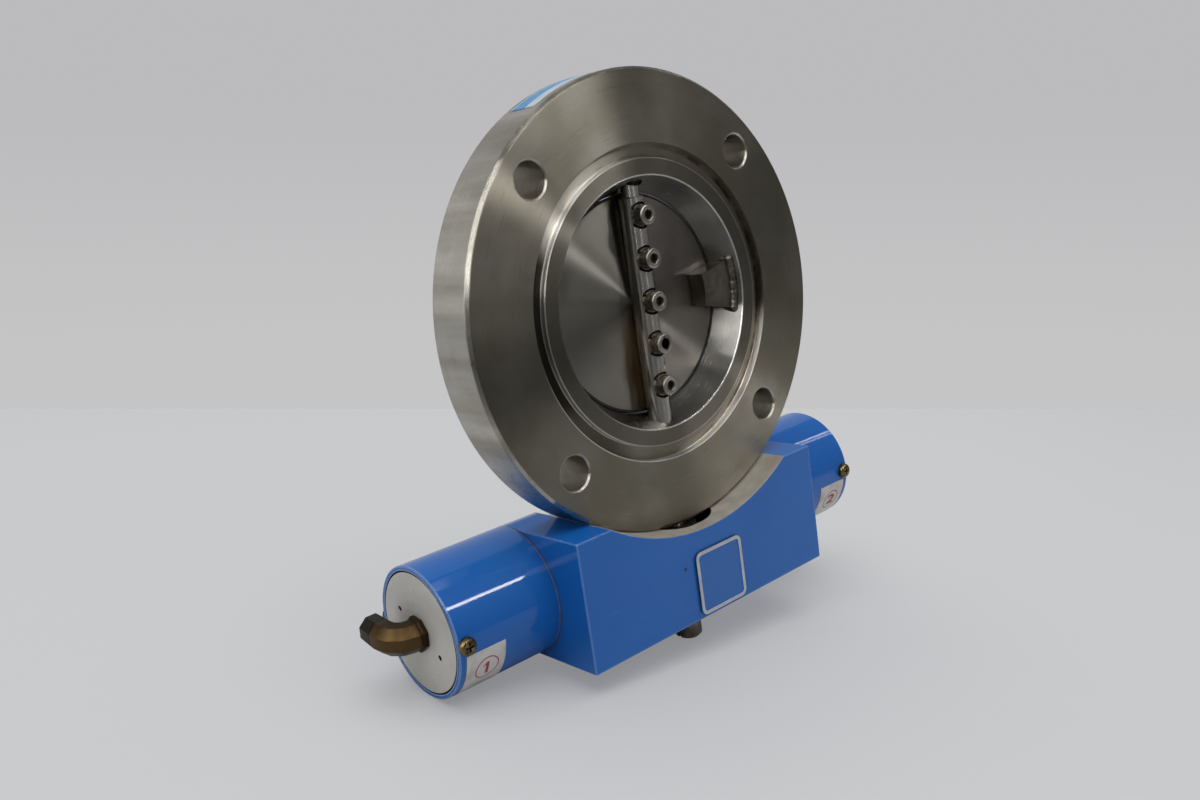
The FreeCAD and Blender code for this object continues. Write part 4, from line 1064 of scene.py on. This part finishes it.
def make_elbow(side, name):
    """Forged octagonal elbow: collar, short leg, a bend in three facets and a leg to the back."""
    form = bmesh.new()
    centre = Vector((side * tube_end_x, axis_y, axis_z))
    outward = Matrix.Rotation(math.radians(90 * side), 4, "Y")
    backward = Matrix.Rotation(math.radians(-90), 4, "X")
    slope = math.radians(22.5)

    def ring(size, sides, offset, turn):
        """An octagon by its width across flats, or a round ring by its radius."""
        place = Matrix.Translation(centre + Vector(offset)) @ turn
        if sides == ROUND:
            return loop(form, sides, size, 0, place)
        return loop(form, sides, size / 2 / math.cos(slope), slope, place)

    def section(offset, size, sides=8):
        return ring(size, sides, (side * offset, 0, 0), outward)

    def back_section(offset, size, sides=8):
        return ring(size, sides, (side * ELBOW_REACH, offset, 0), backward)

    bend_start = ELBOW_REACH - ELBOW_BEND
    loops = [
        section(-THREAD_LENGTH, THREAD_RADIUS, ROUND), section(0, THREAD_RADIUS, ROUND),
        section(0.01 * MM, ELBOW_COLLAR - 0.5 * MM), section(0.3 * MM, ELBOW_COLLAR),
        section(ELBOW_COLLAR_LENGTH - 0.3 * MM, ELBOW_COLLAR),
        section(ELBOW_COLLAR_LENGTH, ELBOW_COLLAR - 0.5 * MM),
        section(ELBOW_COLLAR_LENGTH + 0.2 * MM, ELBOW_FLATS), section(bend_start, ELBOW_FLATS),
    ]
    pivot = centre + Vector((side * bend_start, ELBOW_BEND, 0))
    for step in (1, 2, 3):
        turned = section(bend_start, ELBOW_FLATS)
        verts = list({vert for edge in turned for vert in edge.verts})
        bend = Matrix.Rotation(side * math.radians(30 * step), 3, "Z")
        bmesh.ops.rotate(form, verts=verts, cent=pivot, matrix=bend)
        loops.append(turned)
    loops += [
        back_section(ELBOW_LEG - 0.4 * MM, ELBOW_END_FLATS),
        back_section(ELBOW_LEG, ELBOW_END_FLATS - 0.7 * MM),
        back_section(ELBOW_LEG, ELBOW_BORE + 0.3 * MM, ROUND),
        back_section(ELBOW_LEG - 0.3 * MM, ELBOW_BORE, ROUND), back_section(ELBOW_BEND, ELBOW_BORE, ROUND),
    ]
    skin(form, loops)
    bmesh.ops.rotate(form, verts=form.verts, cent=centre, matrix=Matrix.Rotation(ELBOW_TURN, 3, "X"))
    piece(name, form, "base", "elbow", "fitting_brass", name.replace("forged", "elbow"))


# Prints on the labels
LABEL_THICKNESS = 0.15 * MM
PRINT_RISE = 0.03 * MM
PRINT_THICKNESS = 0.02 * MM
PRINT_DROP = 8.0 * MM
PRINT_SHIFT = 0.6 * MM
RING_RADIUS = 4.6 * MM
RING_WIDTH = 0.4 * MM
DIGIT_HEIGHT = 7.0 * MM
DIGIT_BOLD = 0.03
DIGIT_STRETCH = 1.35
ONE_TOP = 0.37 * DIGIT_HEIGHT
ONE_STEM = 0.6 * MM
ONE_FLAG = 1.7 * MM
ONE_FLAG_DROP = 1.1 * MM
ONE_FLAG_WIDTH = 0.6 * MM
PRINT_CUT = 0.4 * MM


def wrap_print(form, label_box):
    """Lays a flat print, drawn about the middle of its label, round the cylinder on the label's face."""
    low, high = label_box
    middle_x = (low.x + high.x) / 2 + PRINT_SHIFT
    radius = tube_radius + LABEL_THICKNESS + PRINT_RISE
    start = math.asin((axis_z - high.z) / radius)
    for vert in form.verts:
        angle = start + PRINT_DROP / radius - vert.co.y / radius
        lift = radius + vert.co.z
        depth = axis_y - lift * math.cos(angle)
        height = axis_z - lift * math.sin(angle)
        vert.co = Vector((middle_x + vert.co.x, depth, height))


def font_digit(digit):
    """A bold digit in Blender's own font, drawn flat about the origin."""
    text = bpy.data.curves.new("digit", "FONT")
    text.body = digit
    text.offset = DIGIT_BOLD
    text.align_x = "CENTER"
    text.align_y = "CENTER"
    holder = new_object("digit", text)
    bpy.context.view_layer.update()
    flat = finished_mesh(holder)
    form = bmesh.new()
    form.from_mesh(flat)
    bpy.data.meshes.remove(flat)
    bmesh.ops.scale(form, verts=form.verts, vec=(DIGIT_HEIGHT * DIGIT_STRETCH, DIGIT_HEIGHT, DIGIT_HEIGHT))
    return form


def drawn_one():
    """The digit one, a stem with a slanted flag, drawn flat about the origin."""
    form = bmesh.new()
    flag_top = ONE_TOP - ONE_FLAG_DROP
    outline = (
        (ONE_STEM, -ONE_TOP), (ONE_STEM, ONE_TOP), (-ONE_STEM * 0.3, ONE_TOP), (-ONE_FLAG, flag_top),
        (-ONE_FLAG, flag_top - ONE_FLAG_WIDTH), (-ONE_STEM, ONE_TOP - ONE_FLAG_WIDTH - 0.3 * MM),
        (-ONE_STEM, -ONE_TOP),
    )
    form.faces.new([form.verts.new((x, y, 0)) for x, y in outline])
    form.normal_update()
    bmesh.ops.triangulate(form, faces=form.faces)
    return form


def make_print(name, digit, label_node):
    """A thin red ring round a plain number."""
    form = drawn_one() if digit == "1" else font_digit(digit)
    cuts = math.ceil(DIGIT_HEIGHT / 2 / PRINT_CUT)
    for step in range(-cuts, cuts + 1):
        bmesh.ops.bisect_plane(
            form, geom=form.verts[:] + form.edges[:] + form.faces[:],
            plane_co=(0, step * PRINT_CUT, 0), plane_no=(0, 1, 0),
        )
    outer = loop(form, ROUND, RING_RADIUS, 0, Matrix.Identity(4))
    inner = loop(form, ROUND, RING_RADIUS - RING_WIDTH, 0, Matrix.Identity(4))
    bmesh.ops.bridge_loops(form, edges=outer + inner)
    raised = bmesh.ops.extrude_face_region(form, geom=form.faces[:])
    top = [item for item in raised["geom"] if isinstance(item, bmesh.types.BMVert)]
    bmesh.ops.translate(form, verts=top, vec=(0, 0, PRINT_THICKNESS))
    wrap_print(form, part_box(label_node))
    piece(name, form, "base", "ink", "label_foil")


make_disc_screws()
make_edge_lip()
make_weld()
make_elbow(-1, "left_forged")
make_elbow(1, "right_forged")
make_print("left_number", "1", "left_port_label")
make_print("right_number", "2", "right_port_label")

make_floor()
make_room()
make_world()
lamp("ceiling_panel", studio_place(*CEILING_PLACE), studio_place(0, 0, 0), *CEILING_SIZE, CEILING_POWER)

bpy.context.scene.view_settings.view_transform = "Standard"
